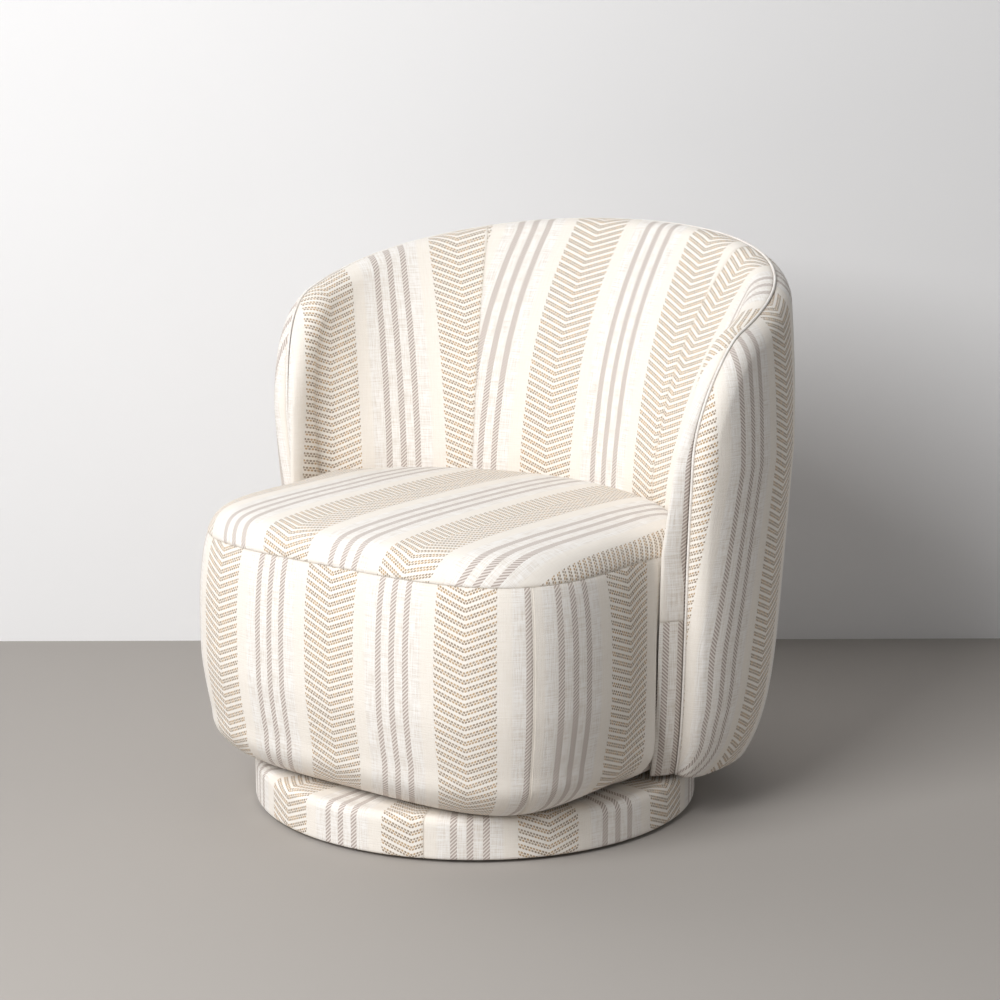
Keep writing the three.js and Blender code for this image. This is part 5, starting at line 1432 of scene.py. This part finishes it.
# Each part of a fastener is an upright prism: its sides, radius, height and the height of its middle
def fastenerTree(name, parts):
    sizes = {}
    for part, (_, radius, height, middle) in parts.items():
        sizes |= {f"{part} radius": radius * mm, f"{part} height": height * mm, f"{part} middle": middle * mm}
    tree = Tree(name, sizes | dict(seed=11, material=None))
    given = tree.given
    joined = tree.group.nodes.new("GeometryNodeJoinGeometry")
    for part, (sides, *_) in parts.items():
        prism = tree.node("GeometryNodeMeshCylinder", None, {
            "Vertices": sides, "Radius": given[f"{part} radius"], "Depth": given[f"{part} height"]})
        lift = tree.node("ShaderNodeCombineXYZ", None, {2: given[f"{part} middle"]})
        raised = tree.node("GeometryNodeTransform", None, {"Geometry": prism, "Translation": lift})
        tree.group.links.new(raised, joined.inputs[0])
    points = tree.node("GeometryNodeMeshToPoints", None, {"Mesh": given["Geometry"]})
    turn = tree.node("FunctionNodeRandomValue", dict(data_type="FLOAT"),
                     {"Min": 0.0, "Max": math.pi, "Seed": given["seed"]}, out=1)
    angles = tree.node("ShaderNodeCombineXYZ", None, {2: turn})
    placed = tree.node("GeometryNodeInstanceOnPoints", None, {
        "Points": points, "Instance": joined.outputs[0], "Rotation": angles})
    return tree.close(placed)


# Sets out what a tree makes along lines, or at points where a line has one, as a real mesh
def setOut(name, tree, lines, values, material, body):
    vertices, edges = [], []
    for line in lines:
        start = len(vertices)
        vertices += [tuple((np.asarray(p) + [0, axisY, 0]) * mm) for p in line]
        if len(line) > 1:
            edges += [(i, i + 1) for i in range(start, len(vertices) - 1)]
    mesh = bpy.data.meshes.new(name + "_lines")
    mesh.from_pydata(vertices, edges, [])
    piece = bpy.data.objects.new(name, mesh)
    bpy.context.scene.collection.objects.link(piece)
    maker = piece.modifiers.new("set_out", "NODES")
    maker.node_group = tree.group
    for label, value in (values | dict(material=material)).items():
        maker[tree.names[label]] = value
    ready = piece.evaluated_get(bpy.context.evaluated_depsgraph_get())
    made = bpy.data.meshes.new_from_object(ready)
    piece.modifiers.clear()
    piece.data = made
    finish(piece, material, body, [])
    print("set out", name, len(made.polygons), "faces")


# Moves a line toward the middle of the seat
def sunk(line, amount):
    away = (line - [0, seat["centreY"], 0]) * [1, 1, 0]
    return line - away / np.linalg.norm(away, axis=-1)[:, None] * amount


# The four corners of a square round the axis, each as a line of one point
def fourCorners(reach, z):
    return [[(reach * x, reach * y, z)] for x in (-1, 1) for y in (-1, 1)]


# How deep the threads lie in their seams
sinks = dict(bandSeam=0.75, bandStitches=0.28, inner=-0.8, strip=0.8, cushion=1.2)
thread = speckledMaterial(
    "sewing_thread", tint(246, 240, 230), tint(214, 204, 190), scale=900, depth=0.0001, roughness=0.8)
alongLines = lineTree()
seatLines = [sunk(line, sinks["bandSeam"]) for line in bandSeams[:2]]
seatLines += [sunk(line, sinks["bandStitches"]) for line in bandSeams[2:]]
seatLines += [sunk(line, sinks["inner"]) for line in innerSeams]
seatLines += [line + [0, sinks["strip"], 0] for line in stripSeams]
seatLines.append(sunk(cushionLine, sinks["cushion"]))
setOut("seat_stitches", alongLines, seatLines, {}, thread, "seat_unit")
setOut("plinth_stitches", alongLines, plinthSeams, {}, thread, "base")

# Staples hold the dust covers' edges, with their crowns just under the felt
staple = dict(pitch=0.045, length=0.011, radius=0.00045, tilt=0.02)
staples = dict(under=0.45, ringRadius=248, ringSides=121)
azimuths = np.linspace(0, fullTurn, staples["ringSides"])
ring = ringPoints([(staples["ringRadius"], dust["lift"] - staples["under"])], azimuths)[0]
setOut("plinth_staples", alongLines, [ring], staple, steel, "base")
dustLine = dustLine - [0, 0, staples["under"]]
setOut("seat_staples", alongLines, [dustLine], staple, steel, "seat_unit")

# Screws hold the lower plate to the plinth; bolts go up through the board into nuts
fasteners = dict(screwAt=118, screwUp=2.6, boltAt=92, boltSpare=12, boltBelow=3.4, washerUp=0.6, nutUp=3.3)
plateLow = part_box("swivel_lower_plate")[0][2] / mm
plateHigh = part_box("swivel_upper_plate")[1][2] / mm
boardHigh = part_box("bottom_board")[1][2] / mm
above = boardHigh - plateHigh
boltLength = above + fasteners["boltSpare"]
screws = dict(shank=(12, 1.9, 15, -7.5), head=(20, 4.6, 1.7, 0.85), crown=(20, 3.0, 0.7, 2.0))
bolts = dict(
    shank=(16, 2.6, boltLength, boltLength / 2 - fasteners["boltBelow"]),
    head=(6, 5.4, 3.2, -4.2),
    washer=(20, 7.4, 1.1, above + fasteners["washerUp"]),
    nut=(6, 5.4, 4.2, above + fasteners["nutUp"]),
)
points = fourCorners(fasteners["screwAt"], plateLow + fasteners["screwUp"])
screwTree = fastenerTree("countersunk_screws", screws)
setOut("plate_screws", screwTree, points, {}, steel, "base")
points = fourCorners(fasteners["boltAt"], plateHigh)
boltTree = fastenerTree("bolts_with_nuts", bolts)
setOut("board_bolts", boltTree, points, {}, steel, "seat_unit")
print("threads and fasteners made")

finishes = {
    plywood: ("plinth_floor_ring", "plinth_hoop", "plinth_brace", "plinth_top_panel", "bottom_board",
              "front_rib_frame", "back_rib", "arm_rib", "back_brace_band"),
    board: ("front_panel", "outer_back_board"),
    wood: ("front_rail", "side_rail", "back_rail", "rail_post", "top_hoop", "arm_post"),
    steel: ("sinuous_spring", "spring_tie_wire", "ball_cage", "swivel_pin"),
    blackSteel: ("swivel_lower_plate", "swivel_upper_plate"),
    plastic: ("floor_glide", "pin_washer"),
}
for material, starts in finishes.items():
    for name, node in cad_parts.items():
        if name.startswith(starts):
            for holder in node.material_slots:
                holder.material = material
print("solids finished")

# The room: a pale floor, a paler wall behind, seen from its front only
room = dict(
    wallBehind=0.77, size=9.0, azimuth=38.17, cameraAway=3.279, cameraHigh=1.1056, lens=90,
    sensor=36, yaw=0.593, pitch=12.071, aimHigh=0.4, skyLevel=0.19, stain=0.06,
    floor=tint(172, 167, 162), wall=tint(246, 246, 247), stained=tint(150, 146, 142),
    sky=tint(252, 252, 252),
)
lamps = {
    "key_window": dict(forward=2.2, sideways=-1.72, up=1.85, size=1.9, watts=118),
    "side_fill": dict(forward=0.3, sideways=2.7, up=0.9, size=2.2, watts=4.5),
}


# Level directions from the chair: toward the camera, and to the right in the picture
def towardCamera():
    a = math.radians(room["azimuth"])
    return Vector((math.sin(a), -math.cos(a), 0)), Vector((math.cos(a), math.sin(a), 0))


def roomMaterial(name, colour, oneSided):
    s = Shader(name, roughness=0.9)
    patch = s.noise(s.place(), scale=1.3, detail=4.0)
    s.finish(s.mix(patch * room["stain"], colour, room["stained"]))
    if oneSided:
        behind = s.node("ShaderNodeNewGeometry", None, None, out=6)
        clear = s.node("ShaderNodeBsdfTransparent")
        both = s.node("ShaderNodeMixShader", None, {0: behind, 1: Value(s, s.surface.outputs[0]), 2: clear})
        s.feed(s.tree.nodes["Material Output"].inputs["Surface"], both)
    return s.material


def stagePlane(name, corners, material):
    mesh = bpy.data.meshes.new(name)
    mesh.from_pydata([tuple(c) for c in corners], [], [(0, 1, 2, 3)])
    mesh.materials.append(material)
    plane = bpy.data.objects.new(name, mesh)
    bpy.context.scene.collection.objects.link(plane)


def studio():
    forward, sideways = towardCamera()
    reach = room["size"]
    foot = Vector((0, axisY * mm, 0)) - forward * room["wallBehind"]
    up, aside = Vector((0, 0, reach)), sideways * reach
    ahead = foot + forward * reach * 2
    behind = foot - forward * reach
    stagePlane("studio_floor", [behind - aside, ahead - aside, ahead + aside, behind + aside],
               roomMaterial("floor_paint", room["floor"], oneSided=False))
    stagePlane("studio_wall", [foot - aside, foot + aside, foot + aside + up, foot - aside + up],
               roomMaterial("wall_paint", room["wall"], oneSided=True))


def camera():
    forward, sideways = towardCamera()
    yaw, pitch = math.radians(room["yaw"]), math.radians(room["pitch"])
    ahead = -forward * math.cos(yaw) + sideways * math.sin(yaw)
    right = sideways * math.cos(yaw) + forward * math.sin(yaw)
    up = Vector((0, 0, 1))
    looking = ahead * math.cos(pitch) - up * math.sin(pitch)
    top = up * math.cos(pitch) + ahead * math.sin(pitch)
    spot = Vector((0, axisY * mm, room["cameraHigh"])) + forward * room["cameraAway"]
    data = bpy.data.cameras.new("camera")
    data.lens, data.sensor_width = room["lens"], room["sensor"]
    made = bpy.data.objects.new("camera", data)
    made.matrix_world = Matrix((right, top, -looking)).transposed().to_4x4()
    made.location = spot
    bpy.context.scene.collection.objects.link(made)
    bpy.context.scene.camera = made


def areaLamp(name, spot, target, size, watts):
    data = bpy.data.lights.new(name, "AREA")
    data.shape, data.size, data.energy = "SQUARE", size, watts
    lamp = bpy.data.objects.new(name, data)
    lamp.matrix_world = (target - spot).to_track_quat("-Z", "Y").to_matrix().to_4x4()
    lamp.location = spot
    bpy.context.scene.collection.objects.link(lamp)


# Two lamps, and a sky that lights the chair softly but shows white to the camera
def lights():
    forward, sideways = towardCamera()
    target = Vector((0, axisY * mm, room["aimHigh"]))
    for name, lamp in lamps.items():
        up = Vector((0, 0, lamp["up"]))
        spot = target + forward * lamp["forward"] + sideways * lamp["sideways"] + up
        areaLamp(name, spot, target, lamp["size"], lamp["watts"])
    world = bpy.data.worlds.new("studio")
    bpy.context.scene.world = world
    world.use_nodes = True
    tree = world.node_tree
    ground = tree.nodes["Background"]
    ground.inputs["Color"].default_value = room["sky"]
    path = tree.nodes.new("ShaderNodeLightPath")
    seen = tree.nodes.new("ShaderNodeMath")
    seen.operation = "MAXIMUM"
    tree.links.new(path.outputs["Is Camera Ray"], seen.inputs[0])
    tree.links.new(path.outputs["Is Transmission Ray"], seen.inputs[1])
    level = tree.nodes.new("ShaderNodeMapRange")
    level.inputs["To Min"].default_value = room["skyLevel"]
    level.inputs["To Max"].default_value = 1.0
    tree.links.new(seen.outputs[0], level.inputs["Value"])
    tree.links.new(level.outputs[0], ground.inputs["Strength"])


studio()
camera()
lights()
bpy.context.scene.view_settings.view_transform = "Standard"
print("room made")
